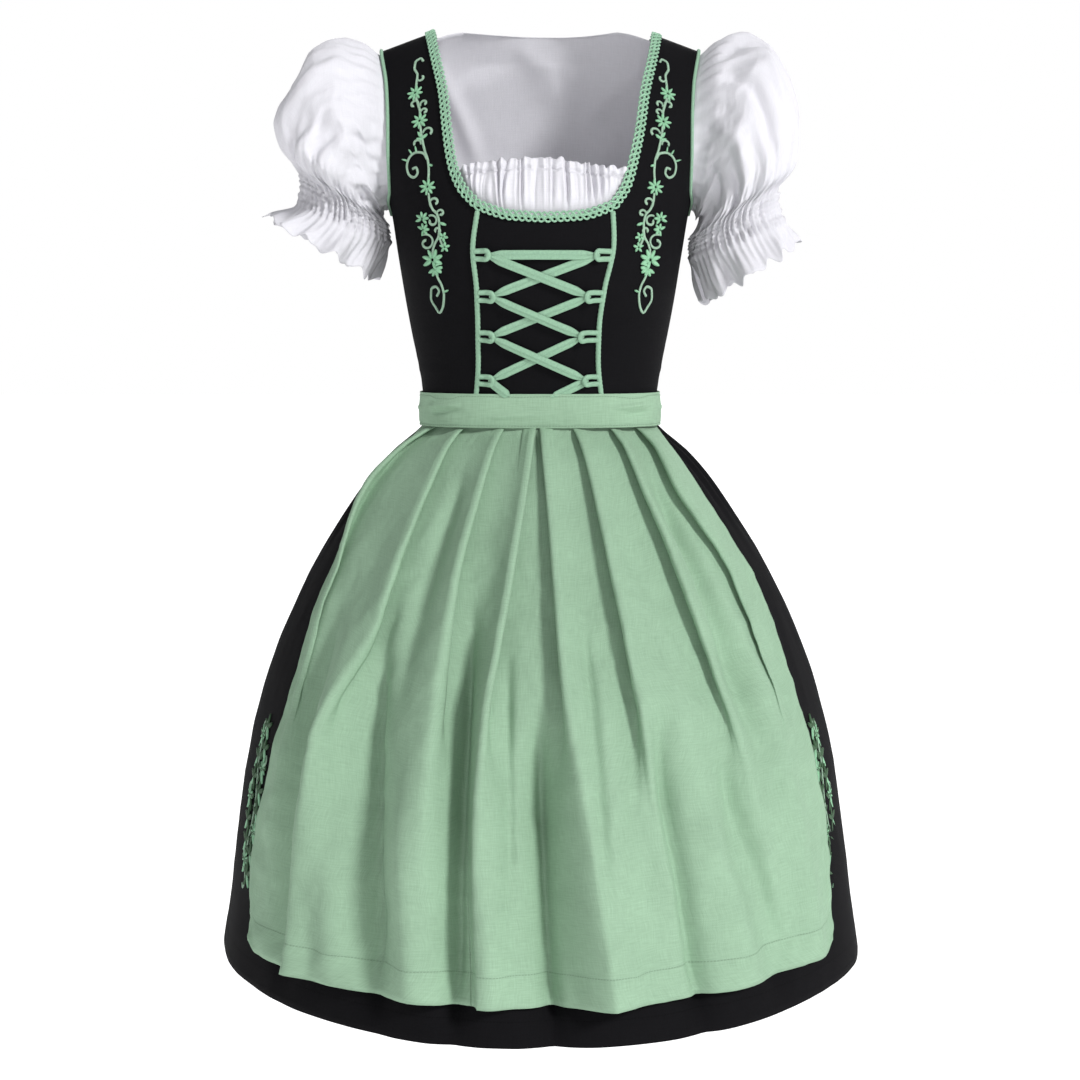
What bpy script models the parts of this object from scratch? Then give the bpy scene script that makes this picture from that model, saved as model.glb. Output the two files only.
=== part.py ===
"""Dirndl dress, filled out as worn: black laced bodice, white puff-sleeve blouse, black
bell skirt and green pleated apron tied in a bow at the back.

Metres, +Z up. The front faces -Y and the wearer's left arm is at +X. The origin is midway
between the tops of the shoulder straps, where the wearer's shoulders carry the dress.

Two forms carry all the cloth. The torso form is a general figure's upper body: a point on
it has an angle (0 at the front centre, 90 at the +X side, 180 at the back centre) and a
height below the shoulder line. The skirt form is a bell with the same angle. Every panel
is a grid on one of them, thickened inwards, and every trim is made of the form's points
moved outwards."""
import math

import bmesh
import bpy
from mathutils import Vector

# ---------------------------------------------------------------- driving dimensions
WAIST_SEAM = -0.388          # height where the bodice meets the skirt
HEM = -0.955                 # height of the skirt's hem
NECK_HALF = 0.116            # from the centre to a strap's inner edge, at the shoulder
SHOULDER_SLOPE = 0.36        # fall of the shoulder line towards the arm
SHOULDER_FADE = 0.20         # depth below the shoulder over which that slope dies out
UNDERARM = -0.185            # height of the armhole's lowest point
ROUNDNESS = 0.83             # of a torso section: 1 is an ellipse, less is squarer
FLUTES = 14                  # soft folds in a full turn of the skirt's hem
FLUTE_DEPTH = 0.007
FLUTE_START = 75             # degrees from the front centre
FLUTE_TOP = -0.42

BODICE_CLOTH = 0.0014        # bodice wall, cloth and its backing
BLOUSE_CLOTH = 0.0012
SKIRT_CLOTH = 0.0014
APRON_CLOTH = 0.0012
BAND_CLOTH = 0.0016          # the waistband and ties are double
BOW_CLOTH = 0.0014
SEAM_GAP = 0.0004            # clear space left between neighbouring pieces
BLOUSE_INSET = 0.0042        # the blouse lies this far inside the bodice's outer face
TRIM_LIFT = 0.0009           # trims lie this far outside the cloth they are sewn to
BRAID_LIFT = 0.0013          # and the braid, which bends over the shoulder
APRON_LIFT = 0.0030          # the apron lies this far outside the skirt
BAND_LIFT = 0.0032           # the band's outer face lies this far outside the bodice

BAND_TOP, BAND_BOTTOM = -0.3710, -0.4056
BAND_END = 104               # degrees from the front centre, where the ties begin
APRON_HEM = -0.920
BLOUSE_HEM = -0.330
NECK_FRILL_TOP = -0.144      # the gathered front neck of the blouse
NAPE_TOP = 0.0065            # the blouse's back neck is level at this height
NAPE_START = -0.060          # above this it stands up behind the wearer's neck
NAPE_START_Z, NAPE_START_OUT = -0.033, 0.080
NAPE_OUT = 0.058             # how far behind the shoulder line its top edge stands
NAPE_HALF = 0.105            # and how far to each side it does so
NECK_TURNING = 0.0060         # the blouse's front lies this far outside the neckline
NECK_TURNING_END = -0.165    # down to this height
SIDE_SEAM = 89.7             # degrees from the centre, where the body pieces end
SKIRT_SEAM = 0.2             # degrees each skirt panel keeps from its side seam
PLEAT_TURN = 1.2             # degrees over which a pleat's step falls
SEAM_RADIUS = 0.12           # of the torso, near enough for the gaps at its seams
ARMHOLE_TURNING = 0.0065     # the blouse's armhole lies this far inside the bodice's

ROOT_MIDDLE = -0.0913        # the sleeve's root: its middle height and half its height
ROOT_HALF = 0.0882
ROOT_CLEARANCE = 0.0012      # it stands this far inside the armhole's opening
ROOT_ROUNDED = -0.150        # below this it rounds to the underarm
ROOT_INSET = 0.0006          # its outer face lies this far inside the bodice's
FRILL_WAVES = 12
FRILL_WAVE = 0.035           # of the frill's size

PIPING_RADIUS = 0.0021
ARMHOLE_PIPING_RADIUS = 0.0018
ARMHOLE_PIPING_LIFT = 0.0041  # of its middle line over the bodice
BRAID_WIDTH = 0.0100
BRAID_THICKNESS = 0.0012
BRAID_OVERHANG = 0.0035      # of the braid over the neck's edge
LOOP_THICKNESS = 0.0010
LOOP_HALF_HEIGHT = 0.0042    # half the space between a loop's two runs
LOOP_HALF_WIDTH = 0.0017     # half the width of its folded ribbon
LACE_THICKNESS = 0.0009
LACE_HALF_WIDTH = 0.0046
LACE_HALF_IN_LOOP = 0.0016   # where a loop gathers it
LACE_HALF_NEAR_LOOP = 0.0024
LACE_OUTSIDE_TIP = 0.0035    # the lace turns this far outside a loop's tip
LACE_RISE_AT_LOOP = 0.0031

# ---------------------------------------------------------------- tables
TORSO = dict(columns=("height", "half_width", "front", "back"), rows=[
    (0.000, 0.186, 0.0016, 0.0016),
    (-0.003, 0.186, 0.0110, 0.0150),
    (-0.010, 0.186, 0.0230, 0.0300),
    (-0.030, 0.184, 0.0460, 0.0580),
    (-0.060, 0.181, 0.0690, 0.0830),
    (-0.100, 0.175, 0.0930, 0.1020),
    (-0.140, 0.166, 0.1120, 0.1110),
    (-0.185, 0.1555, 0.1280, 0.1110),
    (-0.225, 0.1493, 0.1330, 0.1060),
    (-0.265, 0.1430, 0.1280, 0.0990),
    (-0.305, 0.1358, 0.1140, 0.0920),
    (-0.345, 0.1282, 0.1010, 0.0870),
    (-0.370, 0.1243, 0.0960, 0.0860),
    (-0.388, 0.1230, 0.0950, 0.0858),
    (-0.420, 0.1230, 0.0950, 0.0858)])

SKIRT = dict(columns=("height", "half_width", "front", "back"), rows=[
    (-0.3888, 0.1230, 0.0950, 0.0858),
    (-0.4060, 0.1232, 0.0952, 0.0860),
    (-0.4130, 0.1290, 0.1010, 0.0915),
    (-0.4340, 0.1545, 0.1260, 0.1165),
    (-0.4550, 0.1743, 0.1450, 0.1380),
    (-0.4760, 0.1910, 0.1610, 0.1550),
    (-0.5180, 0.2195, 0.1910, 0.1870),
    (-0.5600, 0.2428, 0.2180, 0.2150),
    (-0.6230, 0.2714, 0.2550, 0.2520),
    (-0.7070, 0.3003, 0.2990, 0.2970),
    (-0.7910, 0.3193, 0.3320, 0.3270),
    (-0.8770, 0.3328, 0.3480, 0.3440),
    (-0.9550, 0.3440, 0.3610, 0.3550)])

# The front neckline of the bodice, from the shoulder down to the front centre; shift is
# how far the whole neckline lies to the +X side there.
NECKLINE = dict(columns=("half_width", "height", "shift"), rows=[
    (0.1160, 0.000, 0.0035),
    (0.1080, -0.036, 0.0040),
    (0.0995, -0.074, 0.0040),
    (0.0945, -0.110, 0.0035),
    (0.0875, -0.145, 0.0025),
    (0.0800, -0.166, 0.0035),
    (0.0660, -0.1835, 0.0055),
    (0.0360, -0.1930, 0.0060),
    (0.0000, -0.1955, 0.0060)])
FRONT_CORNER = 6             # the row of NECKLINE where the front seam starts

BACK_NECKLINE = dict(columns=("half_width", "height", "shift"), rows=[
    (0.1160, 0.000, 0.0035),
    (0.1080, -0.030, 0.0030),
    (0.0960, -0.060, 0.0020),
    (0.0740, -0.085, 0.0010),
    (0.0400, -0.100, 0.0),
    (0.0000, -0.105, 0.0)])
BACK_CORNER = 3              # the row of BACK_NECKLINE where the back seam starts

FRONT_SEAM = dict(columns=("height", "half_width", "shift"), rows=[
    (-0.1835, 0.0660, 0.0055),
    (-0.224, 0.0694, 0.0033),
    (-0.267, 0.0633, 0.0005),
    (-0.304, 0.0606, -0.0015),
    (-0.335, 0.0603, -0.0018),
    (-0.388, 0.0650, -0.0010)])

BACK_SEAM = dict(columns=("height", "half_width", "shift"), rows=[
    (-0.085, 0.0740, 0.0010),
    (-0.160, 0.0700, 0.0),
    (-0.260, 0.0560, 0.0),
    (-0.388, 0.0430, 0.0)])

# Outer edge of the straps and the armhole, front and back alike.
ARMHOLE = dict(columns=("height", "half_width"), rows=[
    (0.000, 0.1660),
    (-0.045, 0.1580),
    (-0.090, 0.1555),
    (-0.130, 0.1550),
    (-0.155, 0.1545),
    (-0.172, 0.1548),
    (-0.185, 0.1554)])

# Each sleeve section is an ellipse across the arm. Outer and inner are the ends of its
# long axis, away from and next to the body; x is measured outwards from the centre.
# Columns: outer_x, outer_z, inner_x, inner_z, half_depth.
SLEEVES = {
    "right": dict(side=-1, puff=[
        (0.1700, -0.0245, 0.1590, -0.1795, 0.0460),
        (0.1810, -0.0130, 0.1620, -0.1805, 0.0550),
        (0.2050, -0.0105, 0.1650, -0.1825, 0.0620),
        (0.2347, -0.0235, 0.1665, -0.1840, 0.0720),
        (0.2560, -0.0560, 0.1675, -0.1860, 0.0780),
        (0.2695, -0.0930, 0.1670, -0.1880, 0.0780),
        (0.2640, -0.1240, 0.1650, -0.1900, 0.0700),
        (0.2500, -0.1410, 0.1620, -0.1920, 0.0600)],
        cuff=[
        (0.2490, -0.1430, 0.1612, -0.1942, 0.0592),
        (0.2500, -0.1570, 0.1600, -0.2030, 0.0570),
        (0.2530, -0.1750, 0.1595, -0.2150, 0.0590)],
        frill=[
        (0.2538, -0.1765, 0.1594, -0.2166, 0.0595),
        (0.2830, -0.1880, 0.1730, -0.2530, 0.0750)]),
    "left": dict(side=1, puff=[
        (0.1700, -0.0240, 0.1590, -0.1795, 0.0460),
        (0.1820, -0.0110, 0.1620, -0.1810, 0.0550),
        (0.2050, -0.0050, 0.1650, -0.1835, 0.0620),
        (0.2330, -0.0100, 0.1665, -0.1870, 0.0720),
        (0.2530, -0.0420, 0.1675, -0.1920, 0.0780),
        (0.2690, -0.0950, 0.1670, -0.1980, 0.0780),
        (0.2660, -0.1330, 0.1640, -0.2040, 0.0700),
        (0.2480, -0.1590, 0.1600, -0.2090, 0.0600)],
        cuff=[
        (0.2472, -0.1612, 0.1594, -0.2112, 0.0592),
        (0.2500, -0.1750, 0.1582, -0.2210, 0.0570),
        (0.2560, -0.1920, 0.1590, -0.2330, 0.0590)],
        frill=[
        (0.2566, -0.1936, 0.1591, -0.2346, 0.0595),
        (0.2700, -0.2130, 0.1760, -0.2750, 0.0750)])}

# Knife pleats and the centre box pleat of the apron. Each row is one pleat's folded edge:
# its angle at five heights, how far it stands out there, and the side it faces.
PLEAT_HEIGHTS = (-0.406, -0.470, -0.550, -0.690, -0.920)
PLEATS = dict(columns=("angles", "steps", "faces"), rows=[
    ((-57, -62, -56, -54, -50), (0.002, 0.005, 0.002, 0.000, 0.000), 1),
    ((-37, -33.5, -33, -38.7, -41.4), (0.002, 0.004, 0.006, 0.010, 0.006), 1),
    ((-16.3, -16.6, -17.5, -17, -13.5), (0.002, 0.005, 0.008, 0.010, 0.006), 1),
    ((-1.6, -3.5, -5.7, -8.5, -7), (0.002, 0.004, 0.006, 0.008, 0.004), 1),
    ((-0.4, 1.4, 2.6, 4.0, 8.5), (0.002, 0.004, 0.006, 0.010, 0.008), -1),
    ((15, 15, 15.5, 17.3, 23), (0.002, 0.004, 0.006, 0.009, 0.003), -1),
    ((33.5, 30.5, 31.8, 36.5, 42), (0.002, 0.004, 0.006, 0.004, 0.000), -1),
    ((50, 43, 49, 51, 52), (0.002, 0.004, 0.003, 0.000, 0.000), -1)])

APRON_EDGE = dict(columns=("height", "right", "left"), rows=[
    (-0.406, 86, 80),
    (-0.434, 71, 62),
    (-0.476, 67, 58),
    (-0.540, 62, 63),
    (-0.600, 60, 65),
    (-0.680, 58.5, 62),
    (-0.830, 60.5, 60.5),
    (-0.920, 57.5, 57.5)])

# Loop tips along the front seams: height, and the tip's distance from the centre.
LOOPS = dict(columns=("height", "right_tip", "left_tip"), rows=[
    (-0.2333, 0.0490, 0.0535),
    (-0.2735, 0.0446, 0.0446),
    (-0.3130, 0.0455, 0.0385),
    (-0.3575, 0.0462, 0.0432)])

# The lace's turns in order along it: column of LOOPS ("" is an end under the band), the
# loop's number, and how high the stretch that follows passes over the bodice.
LACE = dict(columns=("side", "loop", "rise_after"), rows=[
    ("", 0, 0.0028),
    ("right", 3, 0.0014),
    ("left", 2, 0.0034),
    ("right", 1, 0.0014),
    ("left", 0, 0.0028),
    ("right", 0, 0.0034),
    ("left", 1, 0.0014),
    ("right", 2, 0.0034),
    ("left", 3, 0.0014),
    ("", 1, 0.0)])
LACE_ENDS = dict(columns=("x", "height"), rows=[
    (-0.0310, -0.3655),
    (0.0110, -0.3655)])


# ---------------------------------------------------------------- smooth tables
def smooth(table, at, column, by="height"):
    """The column's value where column `by` is `at`, on a smooth curve through the rows."""
    names = table["columns"]
    rows = sorted(table["rows"], key=lambda row: row[names.index(by)])
    xs = [row[names.index(by)] for row in rows]
    ys = [row[names.index(column)] for row in rows]
    return curve_through(xs, ys, at)


def curve_through(xs, ys, at):
    """Cubic through the points, level where the points turn, held at its ends."""
    if at <= xs[0]:
        return ys[0]
    if at >= xs[-1]:
        return ys[-1]
    i = max(k for k in range(len(xs) - 1) if xs[k] <= at)

    def slope(k):
        if k == 0 or k == len(xs) - 1:
            j = min(k, len(xs) - 2)
            return (ys[j + 1] - ys[j]) / (xs[j + 1] - xs[j])
        before = (ys[k] - ys[k - 1]) / (xs[k] - xs[k - 1])
        after = (ys[k + 1] - ys[k]) / (xs[k + 1] - xs[k])
        if before * after <= 0:
            return 0.0
        return 2 * before * after / (before + after)

    span = xs[i + 1] - xs[i]
    t = (at - xs[i]) / span
    return (ys[i] * (1 + 2 * t) * (1 - t) ** 2 + ys[i + 1] * t * t * (3 - 2 * t)
            + slope(i) * span * t * (1 - t) ** 2 - slope(i + 1) * span * t * t * (1 - t))


def ease(t):
    t = min(max(t, 0.0), 1.0)
    return t * t * (3 - 2 * t)


def steps(start, end, count):
    return [start + (end - start) * i / count for i in range(count + 1)]


# ---------------------------------------------------------------- the two forms
def section(angle, half_width, front, back, roundness):
    """A point of a level section of a form, at an angle in degrees."""
    s, c = math.sin(math.radians(angle)), math.cos(math.radians(angle))
    x = half_width * math.copysign(abs(s) ** roundness, s)
    depth = front if c > 0 else back
    return x, -depth * math.copysign(abs(c) ** roundness, c)


def torso_point(angle, height):
    row = [smooth(TORSO, height, name) for name in ("half_width", "front", "back")]
    x, y = section(angle, *row, ROUNDNESS)
    tilt = SHOULDER_SLOPE * (NECK_HALF - math.hypot(x, 0.02))
    return Vector((x, y, height + tilt * ease((height + SHOULDER_FADE) / SHOULDER_FADE)))


def skirt_point(angle, height):
    """The bell, with soft flutes that start at the sides and deepen round the back."""
    row = [smooth(SKIRT, height, name) for name in ("half_width", "front", "back")]
    x, y = section(angle, *row, 1.0)
    turned = abs((angle + 180) % 360 - 180)
    depth = FLUTE_DEPTH * ease((turned - FLUTE_START) / 60)
    depth *= ease((height - FLUTE_TOP) / (HEM - FLUTE_TOP))
    flute = 1 + depth * math.cos(math.radians(angle * FLUTES)) / row[0]
    return Vector((x * flute, y * flute, height))


def on_form(form, angle, height, out=0.0):
    """A point of the form, moved outwards along its normal."""
    if out == 0:
        return form(angle, height)
    across = form(angle + 1.5, height) - form(angle - 1.5, height)
    up = form(angle, height + 0.0015) - form(angle, height - 0.0015)
    return form(angle, height) + across.cross(up).normalized() * out


def angle_at(x, height, back=False):
    """The torso angle that has this x."""
    ratio = min(abs(x) / smooth(TORSO, height, "half_width"), 1.0)
    angle = math.degrees(math.asin(ratio ** (1 / ROUNDNESS)))
    angle = 180 - angle if back else angle
    return math.copysign(angle, x)


# ---------------------------------------------------------------- making nodes
COLLECTION = "dirndl_dress"
COTTON_ROUGHNESS = 0.85
COLOURS = {
    "black_cotton": (0.012, 0.012, 0.014),
    "white_cotton": (0.80, 0.79, 0.82),
    "green_cotton": (0.34, 0.50, 0.36),
    "green_trim": (0.26, 0.45, 0.30)}


def clear_scene():
    for item in list(bpy.data.objects):
        bpy.data.objects.remove(item, do_unlink=True)


def make_material(name, colour):
    material = bpy.data.materials.new(name)
    material.use_nodes = True
    shader = material.node_tree.nodes["Principled BSDF"]
    shader.inputs["Base Color"].default_value = (*colour, 1)
    shader.inputs["Roughness"].default_value = COTTON_ROUGHNESS
    shader.inputs["Metallic"].default_value = 0.0
    return material


def add_node(name, data, colour):
    item = bpy.data.objects.new(name, data)
    bpy.data.collections[COLLECTION].objects.link(item)
    data.materials.append(make_material(name + "_" + colour, COLOURS[colour]))
    return item


def cloth(name, rows, thickness, colour, ring=False, hole=None, thicken_out=False):
    """A grid of points, thickened. Rows run upwards and their points run anticlockwise
    seen from above, so faces look outwards. hole says which (row, column) cells are cut."""
    mesh = bmesh.new()
    points = [[mesh.verts.new(p) for p in row] for row in rows]
    columns = len(rows[0]) if ring else len(rows[0]) - 1
    for r in range(len(rows) - 1):
        for c in range(columns):
            if hole and hole(r, c):
                continue
            d = (c + 1) % len(rows[0])
            mesh.faces.new((points[r][c], points[r][d], points[r + 1][d], points[r + 1][c]))
    loose = [v for v in mesh.verts if not v.link_faces]
    bmesh.ops.delete(mesh, geom=loose, context="VERTS")
    for face in mesh.faces:
        face.smooth = True
    data = bpy.data.meshes.new(name)
    mesh.to_mesh(data)
    mesh.free()
    item = add_node(name, data, colour)
    wall = item.modifiers.new("wall", "SOLIDIFY")
    wall.thickness = thickness
    wall.offset = 1.0 if thicken_out else -1.0
    return item


def strip(name, path, widths, thickness, colour, ring=False):
    """A ribbon along a path of (point, outward normal), thickened outwards."""
    rows = []
    for i, (point, normal) in enumerate(path):
        before = path[i - 1] if ring or i else path[i]
        after = path[(i + 1) % len(path)] if ring or i < len(path) - 1 else path[i]
        along = (after[0] - before[0]).normalized()
        side = along.cross(normal).normalized() * widths[i]
        rows.append((point - side, point + side))
    rows = [[row[1] for row in rows], [row[0] for row in rows]]
    return cloth(name, rows, thickness, colour, ring=ring, thicken_out=True)


def piping(name, points, radius, colour, ring=False):
    """A filled cord sewn along a seam."""
    data = bpy.data.curves.new(name, "CURVE")
    data.dimensions = "3D"
    data.bevel_depth = radius
    data.bevel_resolution = 2
    data.use_fill_caps = not ring
    line = data.splines.new("POLY")
    line.points.add(len(points) - 1)
    for slot, point in zip(line.points, points):
        slot.co = (*point, 1)
    line.use_cyclic_u = ring
    return add_node(name, data, colour)


# ---------------------------------------------------------------- bodice
SHOULDER_ROWS = (-0.105, -0.060, -0.030, -0.012, -0.004, 0.0)
CHEST_ROWS = (-0.205, -0.185, -0.160, -0.133)
WAIST_ROWS = (WAIST_SEAM, -0.370, -0.345, -0.320, -0.290, -0.260, -0.230)


def neck_half(height, back):
    """Half width and shift of the neckline, or of the panel seam below it."""
    neck, corner = (BACK_NECKLINE, BACK_CORNER) if back else (NECKLINE, FRONT_CORNER)
    seam = BACK_SEAM if back else FRONT_SEAM
    edge = dict(columns=neck["columns"], rows=neck["rows"][:corner + 1])
    table = edge if height > edge["rows"][-1][1] else seam
    return smooth(table, height, "half_width"), smooth(table, height, "shift")


def armhole_half(height):
    """Outer edge of a panel: the armhole, and the side seam below the underarm."""
    if height <= UNDERARM:
        return smooth(TORSO, height, "half_width")
    return min(smooth(ARMHOLE, height, "half_width"), smooth(TORSO, height, "half_width"))


def side_panel(name, side, back, columns=5):
    """A side front or side back with its strap, from the waist to the shoulder."""
    gap = math.degrees(SEAM_GAP / SEAM_RADIUS) * (-1 if back else 1)
    rows = []
    for height in WAIST_ROWS + CHEST_ROWS + SHOULDER_ROWS:
        half, shift = neck_half(height, back)
        inner = abs(angle_at(half + side * shift, height, back))
        outer = 90
        if height > UNDERARM:
            outer = abs(angle_at(armhole_half(height), height, back))
        rows.append([on_form(torso_point, side * angle, height) for angle in
                     steps(inner + gap, outer - gap, columns)])
    cloth(name, orient(rows), BODICE_CLOTH, "black_cotton")


def orient(rows):
    """Turns the rows so that their points run anticlockwise seen from above."""
    first, last, middle = rows[0][0], rows[0][-1], rows[0][len(rows[0]) // 2]
    turn = (last - first).cross(Vector((middle.x, middle.y, 0)))
    return rows if turn.z < 0 else [row[::-1] for row in rows]


def centre_panel(name, back, columns=8):
    """The middle panel, from the waist up to the neckline."""
    neck, corner = (BACK_NECKLINE, BACK_CORNER) if back else (NECKLINE, FRONT_CORNER)
    lip = dict(columns=neck["columns"], rows=neck["rows"][corner:])
    lip_half, lip_start, lip_shift = lip["rows"][0]
    level = [h for h in WAIST_ROWS + CHEST_ROWS + SHOULDER_ROWS if h < lip_start - 0.012]
    rows = []
    for height in level:
        half, shift = neck_half(height, back)
        rows.append([(across * (half - SEAM_GAP) + shift, height)
                     for across in steps(-1, 1, columns)])
    top = []
    for across in steps(-1, 1, columns):
        height = smooth(lip, abs(across) * lip_half, "height", by="half_width")
        top.append((across * (lip_half - SEAM_GAP) + lip_shift, height))
    rows.append(top)
    grid = [[on_form(torso_point, angle_at(x, height, back), height)
             for x, height in row] for row in rows]
    cloth(name, orient(grid), BODICE_CLOTH, "black_cotton")


def make_bodice():
    centre_panel("bodice_front_centre", back=False)
    centre_panel("bodice_back_centre", back=True)
    for label, side in (("right", -1), ("left", 1)):
        side_panel("bodice_side_front_" + label, side, back=False)
        side_panel("bodice_side_back_" + label, side, back=True)


# ---------------------------------------------------------------- trims on the bodice
def neck_path():
    """(x, height, is_back) round the neck: front from +X to -X, then back to +X."""
    path = []
    for neck, corner, back in ((NECKLINE, FRONT_CORNER, False),
                               (BACK_NECKLINE, BACK_CORNER, True)):
        edge = []
        for height in (SHOULDER_ROWS[::-1] + CHEST_ROWS[::-1]):
            if height > neck["rows"][corner][1]:
                edge.append((*neck_half(height, back), height))
        lip = dict(columns=neck["columns"], rows=neck["rows"][corner:])
        lip_half = neck["rows"][corner][0]
        for across in (1, 0.67, 0.33, 0):
            height, shift = [smooth(lip, across * lip_half, name, by="half_width")
                             for name in ("height", "shift")]
            edge.append((across * lip_half, shift, height))
        start = 1 if back else -1
        line = [(-start * half + shift, h, back) for half, shift, h in edge]
        line += [(start * half + shift, h, back) for half, shift, h in edge[-2::-1]]
        path += line[1:-1] if back else line
    return path


def make_braid():
    """The flat braid sewn round the neck edge, a little over its edge."""
    middle = []
    for x, height, back in neck_path():
        angle = angle_at(x, height, back)
        point = on_form(torso_point, angle, height)
        lifted = on_form(torso_point, angle, height, 0.001)
        middle.append((point, (lifted - point).normalized()))
    rows = ([], [])
    for i, (point, normal) in enumerate(middle):
        along = (middle[(i + 1) % len(middle)][0] - middle[i - 1][0]).normalized()
        side = along.cross(normal).normalized()
        for row, reach in zip(rows, (BRAID_OVERHANG, BRAID_OVERHANG - BRAID_WIDTH)):
            row.append(point + side * reach + normal * BRAID_LIFT)
    cloth("neck_braid", rows, BRAID_THICKNESS, "green_trim", ring=True,
          thicken_out=True)


def make_piping():
    for label, side in (("right", -1), ("left", 1)):
        line = []
        for height in (BAND_TOP + 0.0015,) + WAIST_ROWS[2:] + (-0.205,):
            half, shift = neck_half(height, False)
            line.append(on_form(torso_point, angle_at(side * half + shift, height),
                                height, PIPING_RADIUS + TRIM_LIFT))
        piping("piping_front_" + label, line, PIPING_RADIUS, "green_trim")
        heights = SHOULDER_ROWS[::-1] + (-0.133, -0.160)
        edge = []
        for back in (False, True):
            arm = [on_form(torso_point,
                           side * abs(angle_at(armhole_half(h) - 0.0015, h, back)),
                           h, ARMHOLE_PIPING_LIFT) for h in heights]
            edge += arm[:0:-1] if back else arm
        bottom = on_form(torso_point, side * 90, UNDERARM - 0.002, ARMHOLE_PIPING_LIFT)
        edge.insert(len(heights), bottom)
        piping("piping_armhole_" + label, edge, ARMHOLE_PIPING_RADIUS, "green_trim",
               ring=True)


def on_front(x, height, out):
    angle = angle_at(x, height)
    point = on_form(torso_point, angle, height, out)
    return point, (on_form(torso_point, angle, height, out + 0.001) - point).normalized()


def make_loops():
    """Folded ribbon loops whose ends are caught beside the front seam."""
    for label, side in (("right", -1), ("left", 1)):
        for number, (height, right_tip, left_tip) in enumerate(LOOPS["rows"]):
            tip = right_tip if label == "right" else left_tip
            half, shift = neck_half(height, False)
            base = half + side * shift - 0.0035
            bend = LOOP_HALF_HEIGHT
            path = [(base, bend), ((base + tip + bend) / 2, bend), (tip + bend, bend)]
            path += [(tip + bend - bend * math.sin(a), bend * math.cos(a))
                     for a in (math.pi / 4, math.pi / 2, 3 * math.pi / 4)]
            path += [(x, -z) for x, z in path[2::-1]]
            line = [on_front(side * x, height + z, TRIM_LIFT) for x, z in path]
            strip("loop_%s_%d" % (label, number + 1), line, [LOOP_HALF_WIDTH] * len(line),
                  LOOP_THICKNESS, "green_trim")


def make_lace():
    """One ribbon: across the top loops, then crossing down through the others."""
    stops = []
    for side, number, rise in LACE["rows"]:
        if side:
            row = LOOPS["rows"][number]
            sign = -1 if side == "right" else 1
            tip = row[1] if side == "right" else row[2]
            stops.append((sign * (tip + LACE_OUTSIDE_TIP), row[0], rise, sign))
        else:
            stops.append((*LACE_ENDS["rows"][number], rise, 0))
    line, widths = [], []
    for i, (x, height, rise, sign) in enumerate(stops):
        if sign:
            line.append(on_front(x, height, LACE_RISE_AT_LOOP))
            widths.append(LACE_HALF_IN_LOOP)
        else:
            line.append(on_front(x, height, TRIM_LIFT if i else rise))
            widths.append(LACE_HALF_WIDTH)
        if i == len(stops) - 1:
            break
        far_x, far_height, _, far_sign = stops[i + 1]
        for t in (0.08, 0.2, 0.5, 0.8, 0.92):
            if (t < 0.5 and not sign) or (t > 0.5 and not far_sign):
                continue
            lift = rise if t == 0.5 else LACE_RISE_AT_LOOP + (rise - LACE_RISE_AT_LOOP) / 2
            line.append(on_front(x + (far_x - x) * t, height + (far_height - height) * t,
                                 lift))
            widths.append(LACE_HALF_WIDTH if 0.1 < t < 0.9 else LACE_HALF_NEAR_LOOP)
    strip("lace", line, widths, LACE_THICKNESS, "green_trim")


# ---------------------------------------------------------------- blouse
def stood_up(point, height):
    """A point of the blouse's back, stood up behind the neck instead of following the
    shoulders forward."""
    rise = ease((height - NAPE_START) / -NAPE_START)
    if rise <= 0:
        return point
    share = max(0.0, 1 - (point.x / NAPE_HALF) ** 2)
    nape = Vector((point.x, NAPE_START_OUT + (NAPE_OUT - NAPE_START_OUT) * rise,
                   NAPE_START_Z + (NAPE_TOP - NAPE_START_Z) * rise))
    point = point.lerp(nape, share)
    point.z = min(point.z, NAPE_TOP)
    return point


def blouse_body(name, back):
    """Front or back inside the bodice, with an open neck and straps to the shoulder."""
    heights = (BLOUSE_HEM,) + WAIST_ROWS[4:] + CHEST_ROWS[:3] + (NECK_FRILL_TOP,)
    heights += SHOULDER_ROWS[:4] + (-0.002,)
    top = len(heights) if back else heights.index(NECK_FRILL_TOP)
    rows = []
    for height in heights:
        neck = neck_half(max(height, NECK_TURNING_END), False)[0] + NECK_TURNING
        outer = SIDE_SEAM
        if height > UNDERARM - ARMHOLE_TURNING:
            arm = smooth(ARMHOLE, height, "half_width") - ARMHOLE_TURNING
            outer = abs(angle_at(arm, height))
        inner = abs(angle_at(neck, height))
        half = steps(outer, inner, 4) + steps(inner, 0, 3)[1:3]
        angles = [-a for a in half] + [0.0] + half[::-1]
        if back:
            angles = [180 - a for a in angles[::-1]][::-1]
        row = [on_form(torso_point, a, height, -BLOUSE_INSET) for a in angles]
        rows.append([stood_up(point, height) for point in row] if back else row)
    return cloth(name, orient(rows), BLOUSE_CLOTH, "white_cotton",
                 hole=lambda r, c: r >= top and 4 <= c < 4 + 6)


def oval(row, side, angle, swell=1.0):
    outer_x, outer_z, inner_x, inner_z, half_depth = row
    centre = Vector((side * (outer_x + inner_x) / 2, 0, (outer_z + inner_z) / 2))
    arm = Vector((side * (outer_x - inner_x) / 2, 0, (outer_z - inner_z) / 2))
    depth = Vector((0, -half_depth, 0))
    return centre + (arm * math.cos(angle) + depth * math.sin(angle)) * swell


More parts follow.
